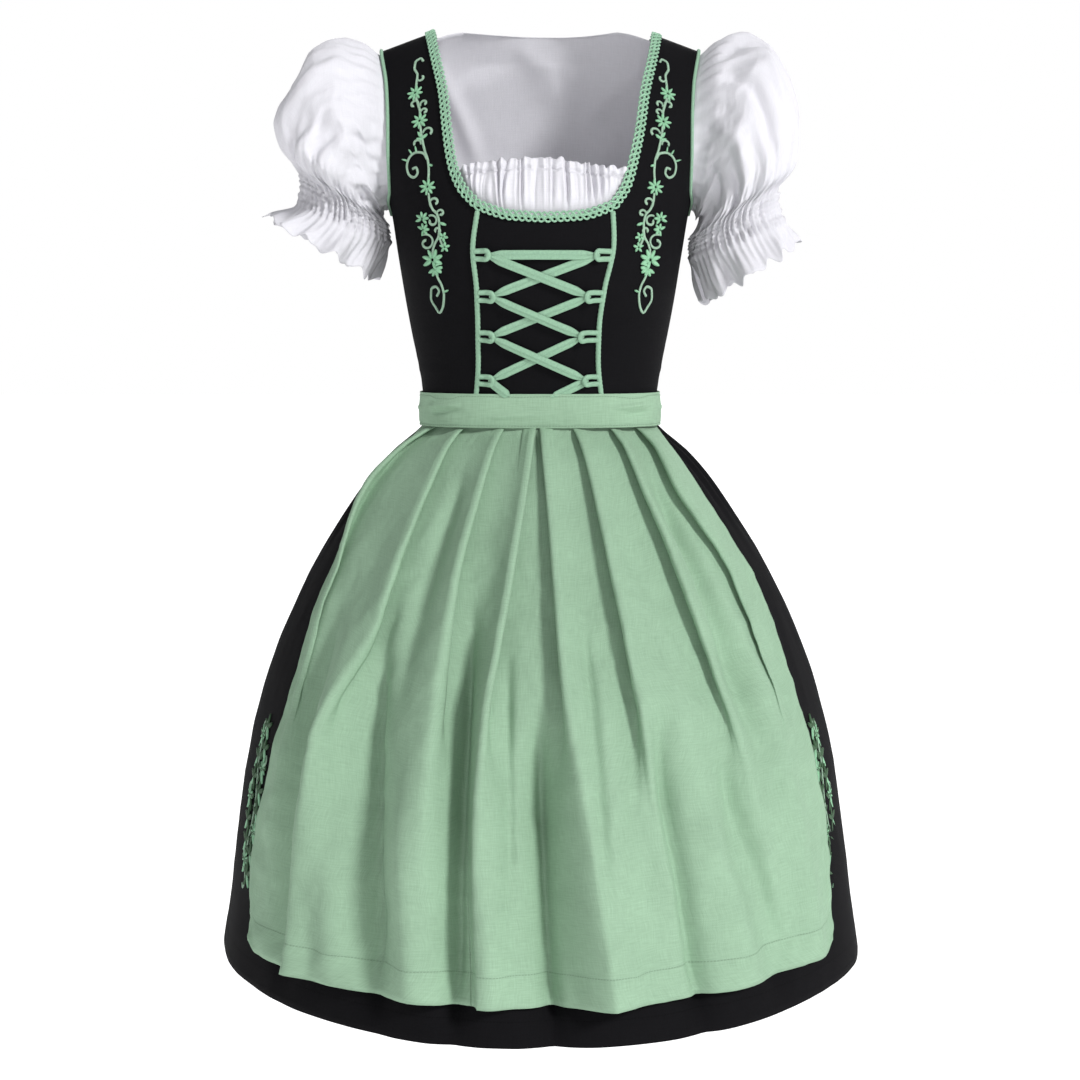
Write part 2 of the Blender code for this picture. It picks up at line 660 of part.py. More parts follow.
def armhole_point(side, turn):
    """A point of the sleeve's root, which fills the bodice's armhole. turn is 0 at the
    shoulder, a quarter turn at the front and half a turn at the underarm."""
    height = ROOT_MIDDLE + ROOT_HALF * math.cos(turn)
    back = math.sin(turn) < 0
    x = smooth(ARMHOLE, height, "half_width") + ROOT_CLEARANCE
    angle = abs(angle_at(x, height, back))
    angle += (90 - angle) * ease((ROOT_ROUNDED - height) / (ROOT_ROUNDED - UNDERARM))
    return on_form(torso_point, side * angle, height, -ROOT_INSET)


def make_sleeve(label):
    """Puff, shirred cuff and frill, each a tube round the arm."""
    side = SLEEVES[label]["side"]
    for part, count in (("puff", 16), ("cuff", 16), ("frill", 36)):
        turns = [2 * math.pi * i / count for i in range(count)]
        rows = []
        if part == "puff":
            rows.append([armhole_point(side, turn) for turn in turns])
        for i, row in enumerate(SLEEVES[label][part]):
            wave = FRILL_WAVE if part == "frill" and i else 0.0
            rows.append([oval(row, side, turn, 1 + wave * math.cos(FRILL_WAVES * turn))
                         for turn in turns])
        rows = rows if side > 0 else [row[::-1] for row in rows]
        cloth("sleeve_%s_%s" % (part, label), rows, BLOUSE_CLOTH, "white_cotton",
              ring=True)


def make_blouse():
    blouse_body("blouse_front", back=False)
    blouse_body("blouse_back", back=True)
    make_sleeve("right")
    make_sleeve("left")


# ---------------------------------------------------------------- skirt and apron
SKIRT_ROWS = (HEM, -0.870, -0.780, -0.690, -0.600, -0.530, -0.470, -0.434, -0.413,
              -0.406, WAIST_SEAM - 0.0008)


def make_skirt():
    for name, start, count in (("skirt_front", -90, 18), ("skirt_back", 90, 26)):
        rows = [[on_form(skirt_point, a, height) for a in
                 steps(start + SKIRT_SEAM, start + 180 - SKIRT_SEAM, count)] for height in SKIRT_ROWS]
        cloth(name, rows, SKIRT_CLOTH, "black_cotton")


def apron_columns(height):
    """(angle, stand-out) across the apron at one height, from -X to +X."""
    heights = PLEAT_HEIGHTS[::-1]
    edges = []
    for angles, stands, faces in PLEATS["rows"]:
        edges.append((curve_through(heights, angles[::-1], height),
                      curve_through(heights, stands[::-1], height), faces))
    ends = (-smooth(APRON_EDGE, height, "right"), smooth(APRON_EDGE, height, "left"))
    columns = [(ends[0], 0.0)]
    for angle, stand, faces in edges:
        low = angle + faces * PLEAT_TURN
        pair = [(angle, stand), (low, 0.0)]
        pair = pair if faces > 0 else pair[::-1]
        columns += fill_between(columns[-1], pair[0])
        columns += pair
    columns += fill_between(columns[-1], (ends[1], 0.0)) + [(ends[1], 0.0)]
    return columns


def fill_between(start, end, count=3):
    """Points of the flat face between two folds."""
    return [(start[0] + (end[0] - start[0]) * i / count,
             start[1] + (end[1] - start[1]) * i / count) for i in range(1, count)]


APRON_ROWS = (APRON_HEM,) + SKIRT_ROWS[1:8] + (-0.4098,)


def make_apron():
    rows = [[on_form(skirt_point, angle, height, APRON_LIFT + stand)
             for angle, stand in apron_columns(height)] for height in APRON_ROWS]
    cloth("apron_skirt", rows, APRON_CLOTH, "green_cotton")
    rows = [[on_form(torso_point, a, height, BAND_LIFT) for a in
             steps(-BAND_END, BAND_END, 32)] for height in
            (BAND_BOTTOM, (BAND_BOTTOM + BAND_TOP) / 2, BAND_TOP)]
    cloth("apron_band", rows, BAND_CLOTH, "green_cotton")


# ---------------------------------------------------------------- ties and bow
BOW_HEIGHT = -0.388
KNOT_SIZE = (0.032, 0.016, 0.036)
KNOT_ROUNDING = 0.005
KNOT_DEPTH = 0.014           # from the bodice to the middle of the knot
TIE_END = 172                # degrees from the front centre, under the knot
TIE_HALF_WIDTHS = (0.0173, 0.0110)   # at the band and where the tie is gathered in
BOW_SAG = 0.9                # fall of a loop, for each squared metre of reach
BOW_CURL = 1.6               # its bend towards the body, likewise
BOW_LEAN = 0.068             # and its lean away from the body, for each metre
BOW_LOOP = dict(columns=("reach", "out", "half_width"), rows=[
    (0.018, -0.003, 0.010),
    (0.050, -0.006, 0.017),
    (0.090, -0.006, 0.021),
    (0.112, -0.003, 0.022),
    (0.118, 0.001, 0.022),
    (0.112, 0.005, 0.022),
    (0.085, 0.011, 0.021),
    (0.050, 0.010, 0.017),
    (0.018, 0.003, 0.010)])
TAIL_TOP, TAIL_LENGTH = -0.414, 0.33
TAIL_START, TAIL_SPREAD = 0.015, 0.030   # its middle line, at the top and gained below
TAIL_HALF_WIDTHS = (0.012, 0.020)


def make_ties():
    for label, side in (("right", -1), ("left", 1)):
        rows = []
        for edge in (-1, 1):
            row = []
            for angle in steps(BAND_END + 0.4, TIE_END, 10):
                wide, narrow = TIE_HALF_WIDTHS
                half = wide + (narrow - wide) * ease((angle - BAND_END) / 60)
                row.append(on_form(torso_point, side * angle, BOW_HEIGHT + edge * half,
                                   BAND_LIFT))
            rows.append(row)
        cloth("apron_tie_" + label, orient(rows), BAND_CLOTH, "green_cotton")
        make_bow_loop(label, side)
        make_bow_tail(label, side)


def knot_middle():
    return on_form(torso_point, 180, BOW_HEIGHT).y + KNOT_DEPTH


def make_knot():
    knot = bmesh.new()
    bmesh.ops.create_cube(knot, size=1.0)
    bmesh.ops.scale(knot, vec=KNOT_SIZE, verts=knot.verts)
    bmesh.ops.translate(knot, vec=(0, knot_middle(), BOW_HEIGHT), verts=knot.verts)
    data = bpy.data.meshes.new("bow_knot")
    knot.to_mesh(data)
    knot.free()
    item = add_node("bow_knot", data, "green_cotton")
    rounded = item.modifiers.new("rounded", "BEVEL")
    rounded.width = KNOT_ROUNDING
    rounded.segments = 2


def make_bow_loop(label, side):
    """A ribbon folded back on itself, its two layers swelling apart."""
    rows = [[], []]
    for reach, out, half in BOW_LOOP["rows"]:
        middle = BOW_HEIGHT - BOW_SAG * reach ** 2
        bend = knot_middle() + out - BOW_CURL * reach ** 2 + BOW_LEAN * reach
        rows[0].append(Vector((side * reach, bend, middle - half)))
        rows[1].append(Vector((side * reach, bend, middle + half)))
    if side < 0:
        rows = [row[::-1] for row in rows]
    cloth("bow_loop_" + label, [row[::-1] for row in rows], BOW_CLOTH, "green_cotton",
          thicken_out=True)


def make_bow_tail(label, side):
    """A tail from under the knot down over the back of the skirt."""
    narrow, wide = TAIL_HALF_WIDTHS
    rows = []
    for t in steps(0, 1, 10):
        height = TAIL_TOP - TAIL_LENGTH * t
        middle = side * (TAIL_START + TAIL_SPREAD * t)
        half = narrow + (wide - narrow) * ease(t * 3)
        depth = on_form(skirt_point, 180, height).y
        rows.append([on_form(skirt_point, 180 - math.degrees((middle - k * half) / depth),
                             height, APRON_LIFT) for k in (-1, 0, 1)])
    cloth("bow_tail_" + label, rows[::-1], BOW_CLOTH, "green_cotton", thicken_out=True)


# ---------------------------------------------------------------- build
def main():
    clear_scene()
    collection = bpy.data.collections.new(COLLECTION)
    bpy.context.scene.collection.children.link(collection)
    make_blouse()
    make_bodice()
    make_braid()
    make_piping()
    make_loops()
    make_lace()
    make_skirt()
    make_apron()
    make_ties()
    make_knot()


main()
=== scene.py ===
"""The looks of the dirndl dress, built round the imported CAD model.

Metres, +Z up, in the frame of the CAD: the front faces -Y and the wearer's left arm is at
+X. The torso and skirt forms are those of the CAD. Each cloth is a fine grid on one of
them, with its own pleats, gathers and creases, and carries a UV map in metres along its
threads, which its weave and stitches follow."""
import math

import bpy
import numpy as np
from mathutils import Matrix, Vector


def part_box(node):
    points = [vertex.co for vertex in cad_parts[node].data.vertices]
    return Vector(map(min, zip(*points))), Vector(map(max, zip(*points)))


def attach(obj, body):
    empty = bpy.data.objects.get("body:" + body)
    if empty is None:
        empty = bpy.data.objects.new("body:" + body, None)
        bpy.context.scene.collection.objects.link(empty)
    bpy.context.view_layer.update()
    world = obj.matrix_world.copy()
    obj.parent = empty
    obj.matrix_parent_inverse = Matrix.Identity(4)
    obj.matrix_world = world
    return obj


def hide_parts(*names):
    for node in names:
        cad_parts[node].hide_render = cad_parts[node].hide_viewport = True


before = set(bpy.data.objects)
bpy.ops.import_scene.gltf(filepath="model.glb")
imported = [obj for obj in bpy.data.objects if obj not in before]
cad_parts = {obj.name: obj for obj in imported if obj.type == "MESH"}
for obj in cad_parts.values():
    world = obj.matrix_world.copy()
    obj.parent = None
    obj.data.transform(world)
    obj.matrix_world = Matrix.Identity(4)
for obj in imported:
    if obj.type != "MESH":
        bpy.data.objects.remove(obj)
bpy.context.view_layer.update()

# ---------------------------------------------------------------- sizes
WAIST_SEAM = -0.388
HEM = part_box("skirt_front")[0][2]
APRON_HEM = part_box("apron_skirt")[0][2]
BAND_BOTTOM, BAND_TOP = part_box("apron_band")[0][2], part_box("apron_band")[1][2]
NECK_HALF, SHOULDER_SLOPE, SHOULDER_FADE = 0.116, 0.36, 0.20
UNDERARM, ARMHOLE_ROUNDING = -0.185, 0.020
ROUNDNESS = 0.83             # of a torso section: 1 is an ellipse, less is squarer
FLUTES, FLUTE_DEPTH, FLUTE_START, FLUTE_TOP = 14, 0.007, 75, -0.42
BAND_END = 104               # degrees from the front centre, where the ties begin
TIE_END = 172
BOW_HEIGHT = -0.388

THIN_WALL = 0.0005           # blouse cotton
CLOTH_WALL = 0.0009
BAND_WALL = 0.0014
BLOUSE_INSET = 0.0034
BLOUSE_EDGE = 0.002          # how far its strap ends inside the bodice's armhole
APRON_LIFT, LIFT_AT_BAND = 0.0030, 0.0016
BAND_LIFT = 0.0050
UNDER_APRON = 0.007          # how far the skirt stands in under the apron
FOLD_DEPTH = 2.3             # of the steps in PLEATS

TORSO = dict(columns=("height", "half_width", "front", "back"), rows=[
    (0.000, 0.186, 0.0004, 0.0004),
    (-0.003, 0.186, 0.0110, 0.0150),
    (-0.010, 0.186, 0.0230, 0.0300),
    (-0.030, 0.184, 0.0460, 0.0580),
    (-0.060, 0.181, 0.0690, 0.0830),
    (-0.100, 0.175, 0.0930, 0.1020),
    (-0.140, 0.166, 0.1120, 0.1110),
    (-0.185, 0.1555, 0.1280, 0.1110),
    (-0.225, 0.1493, 0.1330, 0.1060),
    (-0.265, 0.1430, 0.1280, 0.0990),
    (-0.305, 0.1358, 0.1140, 0.0920),
    (-0.345, 0.1282, 0.1010, 0.0870),
    (-0.370, 0.1243, 0.0960, 0.0860),
    (-0.388, 0.1230, 0.0950, 0.0858),
    (-0.420, 0.1230, 0.0950, 0.0858)])

SKIRT = dict(columns=("height", "half_width", "front", "back"), rows=[
    (-0.3888, 0.1230, 0.0950, 0.0858),
    (-0.4060, 0.1232, 0.0952, 0.0860),
    (-0.4130, 0.1290, 0.1010, 0.0915),
    (-0.4340, 0.1545, 0.1260, 0.1165),
    (-0.4550, 0.1743, 0.1450, 0.1380),
    (-0.4760, 0.1910, 0.1610, 0.1550),
    (-0.5180, 0.2195, 0.1910, 0.1870),
    (-0.5600, 0.2428, 0.2180, 0.2150),
    (-0.6230, 0.2714, 0.2550, 0.2520),
    (-0.7070, 0.3003, 0.2990, 0.2970),
    (-0.7910, 0.3193, 0.3320, 0.3270),
    (-0.8770, 0.3328, 0.3480, 0.3440),
    (-0.9550, 0.3440, 0.3610, 0.3550)])

# The neckline from the shoulder to the centre; shift is how far it all lies to the +X side.
NECKLINE = dict(columns=("half_width", "height", "shift"), rows=[
    (0.1160, 0.000, 0.0035),
    (0.1080, -0.036, 0.0040),
    (0.0995, -0.074, 0.0040),
    (0.0945, -0.110, 0.0035),
    (0.0875, -0.145, 0.0025),
    (0.0800, -0.166, 0.0035),
    (0.0660, -0.1835, 0.0055),
    (0.0360, -0.1930, 0.0060),
    (0.0000, -0.1955, 0.0060)])
FRONT_CORNER = 6             # the row of NECKLINE where the front seam starts

BACK_NECKLINE = dict(columns=("half_width", "height", "shift"), rows=[
    (0.1160, 0.000, 0.0035),
    (0.1080, -0.030, 0.0030),
    (0.0960, -0.060, 0.0020),
    (0.0740, -0.085, 0.0010),
    (0.0400, -0.100, 0.0),
    (0.0000, -0.105, 0.0)])
BACK_CORNER = 3

FRONT_SEAM = dict(columns=("height", "half_width", "shift"), rows=[
    (-0.1835, 0.0660, 0.0055),
    (-0.224, 0.0694, 0.0033),
    (-0.267, 0.0633, 0.0005),
    (-0.304, 0.0606, -0.0015),
    (-0.335, 0.0603, -0.0018),
    (-0.388, 0.0650, -0.0010)])

BACK_SEAM = dict(columns=("height", "half_width", "shift"), rows=[
    (-0.085, 0.0740, 0.0010),
    (-0.160, 0.0700, 0.0),
    (-0.260, 0.0560, 0.0),
    (-0.388, 0.0430, 0.0)])

ARMHOLE = dict(columns=("height", "half_width"), rows=[
    (0.000, 0.1660),
    (-0.045, 0.1580),
    (-0.090, 0.1555),
    (-0.130, 0.1550),
    (-0.155, 0.1545),
    (-0.172, 0.1548),
    (-0.185, 0.1554)])

# Long creases on the puffs: start and end as (turn round the sleeve, along it), width, and
# rise.
RIGHT_CREASES = [
    ((1.9, 0.20), (1.2, 0.66), 0.030, -0.006),
    ((0.9, 0.18), (0.7, 0.60), 0.030, 0.005),
    ((2.5, 0.24), (2.0, 0.62), 0.030, 0.006),
    ((1.5, 0.40), (0.5, 0.70), 0.030, -0.005),
    ((2.9, 0.30), (2.3, 0.66), 0.030, -0.006)]
LEFT_CREASES = [
    ((1.0, 0.16), (1.3, 0.66), 0.030, -0.007),
    ((1.7, 0.18), (1.8, 0.60), 0.030, 0.007),
    ((2.2, 0.22), (2.4, 0.62), 0.030, -0.007),
    ((0.5, 0.22), (0.9, 0.60), 0.030, 0.006),
    ((2.8, 0.30), (2.7, 0.68), 0.030, 0.006)]
CREASE_SCALE = (0.3, 1.0)
# Sections of each sleeve from the shoulder to the frill's edge: the ends of its long axis,
# away from and next to the body, and half its depth front to back.
SLEEVE_COLUMNS = ("along", "outer_x", "outer_z", "inner_x", "inner_z", "half_depth")
SLEEVES = {
    "right": dict(side=-1, creases=RIGHT_CREASES, rows=[
        (0.10, 0.1700, -0.0245, 0.1590, -0.1795, 0.0460),
        (0.16, 0.1830, -0.0120, 0.1620, -0.1805, 0.0550),
        (0.26, 0.2080, -0.0085, 0.1650, -0.1825, 0.0640),
        (0.38, 0.2367, -0.0235, 0.1665, -0.1840, 0.0740),
        (0.48, 0.2570, -0.0560, 0.1675, -0.1860, 0.0780),
        (0.57, 0.2700, -0.0950, 0.1670, -0.1890, 0.0780),
        (0.64, 0.2650, -0.1240, 0.1650, -0.1930, 0.0700),
        (0.70, 0.2520, -0.1420, 0.1615, -0.1970, 0.0600),
        (0.78, 0.2500, -0.1570, 0.1600, -0.2030, 0.0565),
        (0.86, 0.2535, -0.1750, 0.1595, -0.2150, 0.0590),
        (1.00, 0.2840, -0.1890, 0.1730, -0.2540, 0.0760)]),
    "left": dict(side=1, creases=LEFT_CREASES, rows=[
        (0.10, 0.1700, -0.0240, 0.1590, -0.1795, 0.0460),
        (0.16, 0.1830, -0.0100, 0.1620, -0.1810, 0.0550),
        (0.26, 0.2070, -0.0035, 0.1650, -0.1835, 0.0640),
        (0.38, 0.2350, -0.0100, 0.1665, -0.1870, 0.0740),
        (0.48, 0.2540, -0.0420, 0.1675, -0.1920, 0.0780),
        (0.57, 0.2690, -0.0970, 0.1670, -0.1990, 0.0780),
        (0.64, 0.2670, -0.1330, 0.1640, -0.2050, 0.0700),
        (0.70, 0.2500, -0.1600, 0.1600, -0.2110, 0.0600),
        (0.78, 0.2490, -0.1740, 0.1582, -0.2200, 0.0565),
        (0.86, 0.2560, -0.1920, 0.1590, -0.2330, 0.0590),
        (1.00, 0.2720, -0.2150, 0.1760, -0.2760, 0.0760)])}
CUFF_START, CUFF_END = 0.70, 0.86   # the shirred stretch, along the sleeve

# Each row is one pleat's folded edge in the apron: its angle at five heights, how far it
# stands out there, and the side it faces.
PLEAT_HEIGHTS = (-0.406, -0.470, -0.550, -0.690, -0.920)
PLEATS = dict(columns=("angles", "steps", "faces"), rows=[
    ((-57, -62, -56, -54, -50), (0.003, 0.006, 0.003, 0.001, 0.000), 1),
    ((-37, -33.5, -33, -38.7, -41.4), (0.003, 0.006, 0.008, 0.010, 0.006), 1),
    ((-16.3, -16.6, -17.5, -17, -13.5), (0.003, 0.006, 0.009, 0.010, 0.006), 1),
    ((-1.6, -3.5, -5.7, -8.5, -7), (0.003, 0.005, 0.008, 0.010, 0.006), 1),
    ((-0.4, 1.4, 2.6, 4.0, 8.5), (0.003, 0.005, 0.008, 0.011, 0.010), -1),
    ((15, 15, 15.5, 17.3, 23), (0.003, 0.006, 0.008, 0.009, 0.003), -1),
    ((33.5, 30.5, 31.8, 36.5, 42), (0.003, 0.006, 0.008, 0.005, 0.000), -1),
    ((50, 43, 49, 51, 52), (0.003, 0.006, 0.004, 0.001, 0.000), -1)])

APRON_EDGE = dict(columns=("height", "right", "left"), rows=[
    (-0.406, 86, 80),
    (-0.434, 71, 64),
    (-0.476, 67, 60.5),
    (-0.540, 62, 61.5),
    (-0.600, 60, 63),
    (-0.680, 58.5, 62),
    (-0.830, 60.5, 60.5),
    (-0.920, 57.5, 57.5)])

LOOPS = dict(columns=("height", "right_tip", "left_tip"), rows=[
    (-0.2333, 0.0490, 0.0535),
    (-0.2735, 0.0446, 0.0446),
    (-0.3130, 0.0455, 0.0385),
    (-0.3575, 0.0462, 0.0432)])

# The lace's turns in order along it: column of LOOPS ("" is an end under the band), the
# loop's number, and how high the stretch that follows passes over the bodice.
LACE = dict(columns=("side", "loop", "rise_after"), rows=[
    ("", 0, 0.0034),
    ("right", 3, 0.0016),
    ("left", 2, 0.0036),
    ("right", 1, 0.0016),
    ("left", 0, 0.0032),
    ("right", 0, 0.0036),
    ("left", 1, 0.0016),
    ("right", 2, 0.0036),
    ("left", 3, 0.0016),
    ("", 1, 0.0)])
LACE_ENDS = ((-0.0310, -0.3740), (0.0110, -0.3760))


# ---------------------------------------------------------------- curves and noise
def curve_through(xs, ys, at):
    """Cubic through the points, level where they turn, held at its ends. at may be any
    array."""
    xs, ys, at = np.asarray(xs, float), np.asarray(ys, float), np.asarray(at, float)
    rise = np.diff(ys) / np.diff(xs)
    slope = np.zeros(len(xs))
    slope[0], slope[-1] = rise[0], rise[-1]
    if len(xs) > 2:
        same = rise[:-1] * rise[1:] > 0
        middle = 2 * rise[:-1] * rise[1:] / np.where(same, rise[:-1] + rise[1:], 1)
        slope[1:-1] = np.where(same, middle, 0)
    at = np.clip(at, xs[0], xs[-1])
    i = np.clip(np.searchsorted(xs, at, side="right") - 1, 0, len(xs) - 2)
    span = (xs[1:] - xs[:-1])[i]
    t = (at - xs[i]) / span
    return (ys[i] * (1 + 2 * t) * (1 - t) ** 2 + ys[i + 1] * t * t * (3 - 2 * t)
            + slope[i] * span * t * (1 - t) ** 2 - slope[i + 1] * span * t * t * (1 - t))


def smooth(table, at, column, by="height"):
    """The column's value where column `by` is `at`, on a smooth curve through the rows."""
    names = table["columns"]
    rows = sorted(table["rows"], key=lambda row: row[names.index(by)])
    return curve_through([row[names.index(by)] for row in rows],
                         [row[names.index(column)] for row in rows], at)


def ease(t):
    t = np.clip(t, 0.0, 1.0)
    return t * t * (3 - 2 * t)


def noise(u, v, size, seed):
    """Smooth noise from -1 to 1 over a surface, its lumps about `size` across."""
    lattice = np.random.default_rng(seed).uniform(-1, 1, (61, 61))
    x, y = np.broadcast_arrays(np.asarray(u) / size, np.asarray(v) / size)
    i, j = np.floor(x).astype(int), np.floor(y).astype(int)
    s, t = ease(x - i), ease(y - j)
    at = [[lattice[(i + a) % 61, (j + b) % 61] for b in (0, 1)] for a in (0, 1)]
    low = at[0][0] * (1 - s) + at[1][0] * s
    high = at[0][1] * (1 - s) + at[1][1] * s
    return low * (1 - t) + high * t


def crumple(u, v, size, seed, octaves=3):
    """Noise with finer noise on it, ridged like creased cloth."""
    total, weight = 0.0, 1.0
    for k in range(octaves):
        total = total + weight * (0.5 - np.abs(noise(u, v, size / 2 ** k, seed + k)))
        weight *= 0.5
    return total


def hump(distance, width):
    return np.exp(-(distance / width) ** 2)


def crease(across, along, start, end, width):
    """1 on a line from start to end over the surface, falling off beside it and fading at
    both its ends."""
    start, end = np.array(start, float), np.array(end, float)
    length = np.linalg.norm(end - start)
    direction = (end - start) / length
    t = (across - start[0]) * direction[0] + (along - start[1]) * direction[1]
    off = (across - start[0]) * direction[1] - (along - start[1]) * direction[0]
    return hump(off, width) * ease(t / (0.25 * length)) * ease((length - t) / (0.35 * length))


def folds(rows, across, along, scale):
    """The rise of all the folds in a table's rows of start, end, width and rise. scale
    turns a step across and a step along into the width's unit."""
    wide, tall = scale
    total = 0.0
    for start, end, width, rise in rows:
        total = total + rise * crease(across * wide, along * tall,
                                      (start[0] * wide, start[1] * tall),
                                      (end[0] * wide, end[1] * tall), width)
    return total


# ---------------------------------------------------------------- the two forms
def section(angle, half_width, front, back, roundness):
    s, c = np.sin(np.radians(angle)), np.cos(np.radians(angle))
    x = half_width * np.sign(s) * np.abs(s) ** roundness
    depth = np.where(c > 0, front, back)
    return x, -depth * np.sign(c) * np.abs(c) ** roundness


def torso_form(angle, height):
    angle, height = np.broadcast_arrays(np.asarray(angle, float), np.asarray(height, float))
    row = [smooth(TORSO, height, name) for name in ("half_width", "front", "back")]
    x, y = section(angle, *row, ROUNDNESS)
    tilt = SHOULDER_SLOPE * (NECK_HALF - np.hypot(x, 0.02))
    z = height + tilt * ease((height + SHOULDER_FADE) / SHOULDER_FADE)
    return np.stack([x, y, z], -1)


def skirt_form(angle, height):
    """The bell, with soft flutes that start at the sides and deepen round the back."""
    angle, height = np.broadcast_arrays(np.asarray(angle, float), np.asarray(height, float))
    row = [smooth(SKIRT, height, name) for name in ("half_width", "front", "back")]
    x, y = section(angle, *row, 1.0)
    turned = np.abs((angle + 180) % 360 - 180)
    depth = FLUTE_DEPTH * ease((turned - FLUTE_START) / 60)
    depth = depth * ease((height - FLUTE_TOP) / (HEM - FLUTE_TOP))
    flute = 1 + depth * np.cos(np.radians(angle * FLUTES)) / row[0]
    return np.stack([x * flute, y * flute, height], -1)


def on_form(form, angle, height, out=0.0):
    """Points of the form, moved outwards along its normal."""
    angle, height = np.asarray(angle, float), np.asarray(height, float)
    return form(angle, height) + normal_of(form, angle, height) * np.asarray(out)[..., None]


def normal_of(form, angle, height):
    across = form(angle + 1.5, height) - form(angle - 1.5, height)
    up = form(angle, height + 0.0015) - form(angle, height - 0.0015)
    normal = np.cross(across, up)
    return normal / np.maximum(np.linalg.norm(normal, axis=-1, keepdims=True), 1e-12)


def angle_at(x, height, back=False):
    """The torso angle that has this x."""
    ratio = np.minimum(np.abs(x) / smooth(TORSO, height, "half_width"), 1.0)
    angle = np.degrees(np.arcsin(ratio ** (1 / ROUNDNESS)))
    angle = 180 - angle if back else angle
    return np.where(np.asarray(x) < 0, -angle, angle)


def neck_half(height, back):
    """Half width and shift of the neckline, or of the panel seam below it."""
    neck, corner = (BACK_NECKLINE, BACK_CORNER) if back else (NECKLINE, FRONT_CORNER)
    edge = dict(columns=neck["columns"], rows=neck["rows"][:corner + 1])
    seam = BACK_SEAM if back else FRONT_SEAM
    above = np.asarray(height) > neck["rows"][corner][1]
    return [np.where(above, smooth(edge, height, name), smooth(seam, height, name))
            for name in ("half_width", "shift")]


def armhole_half(height):
    torso = smooth(TORSO, height, "half_width")
    return np.where(np.asarray(height) <= UNDERARM, torso,
                    np.minimum(smooth(ARMHOLE, height, "half_width"), torso))


def armhole_angle(height, back=False, inset=0.0):
    """The torso angle of the armhole's edge, or of the side seam below it."""
    edge = np.abs(angle_at(armhole_half(height) - inset, height, back))
    return 90 + (edge - 90) * ease((height - UNDERARM) / ARMHOLE_ROUNDING)


def make_piece(name, points, faces, uv, stuff, node_names):
    """A mesh piece that stands for those CAD nodes and rides on the dress."""
    mesh = bpy.data.meshes.new(name)
    mesh.from_pydata(points.tolist(), [], faces.tolist() if hasattr(faces, "tolist") else faces)
    layer = mesh.uv_layers.new(name="cloth")
    corners = np.zeros(len(mesh.loops), int)
    mesh.loops.foreach_get("vertex_index", corners)
    layer.uv.foreach_set("vector", uv[corners].astype(np.float32).ravel())
    mesh.polygons.foreach_set("use_smooth", [True] * len(mesh.polygons))
    mesh.materials.append(materials[stuff])
    piece = bpy.data.objects.new(name, mesh)
    bpy.context.scene.collection.objects.link(piece)
    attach(piece, "root")
    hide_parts(*node_names)
    return piece


def grid_faces(rows, columns):
    r, c = np.meshgrid(np.arange(rows - 1), np.arange(columns - 1), indexing="ij")
    first = r * columns + c
    return np.stack([first, first + 1, first + columns + 1, first + columns], -1).reshape(-1, 4)


def cloth_uv(grid):
    """Metres along the threads: across from the middle column, and up from the first row."""
    across = np.linalg.norm(np.diff(grid, axis=1), axis=-1).cumsum(axis=1)
    across = np.concatenate([np.zeros((len(grid), 1)), across], axis=1)
    across = across - across[:, across.shape[1] // 2, None]
    up = np.linalg.norm(np.diff(grid, axis=0), axis=-1).cumsum(axis=0)
    up = np.concatenate([np.zeros((1, grid.shape[1])), up], axis=0)
    return np.stack([across, up], -1)


def cloth(name, grids, wall, stuff, inner=(0, 0), node_names=None):
    """One piece from one or more grids of points, facing away from the upright line at
    inner, thickened inwards. It stands for the node of its own name unless told."""
    grids = [grids] if isinstance(grids, np.ndarray) else grids
    points, faces, uv = [], [], []
    count = 0
    for grid in grids:
        rows, columns = grid.shape[:2]
        cells = grid_faces(rows, columns)
        flat = grid.reshape(-1, 3)
        sides = np.cross(flat[cells[:, 2]] - flat[cells[:, 0]],
                         flat[cells[:, 3]] - flat[cells[:, 1]])
        middle = flat[cells].mean(axis=1) - (*inner, 0)
        middle[:, 2] = 0
        if (sides * middle).sum() < 0:
            cells = cells[:, ::-1]
        points.append(flat)
        faces.append(cells + count)
        uv.append(cloth_uv(grid).reshape(-1, 2))
        count += len(flat)
    piece = make_piece(name, np.concatenate(points), np.concatenate(faces),
                       np.concatenate(uv), stuff, node_names or [name])
    solid = piece.modifiers.new("wall", "SOLIDIFY")
    solid.thickness = wall
    solid.offset = -1.0
    return piece


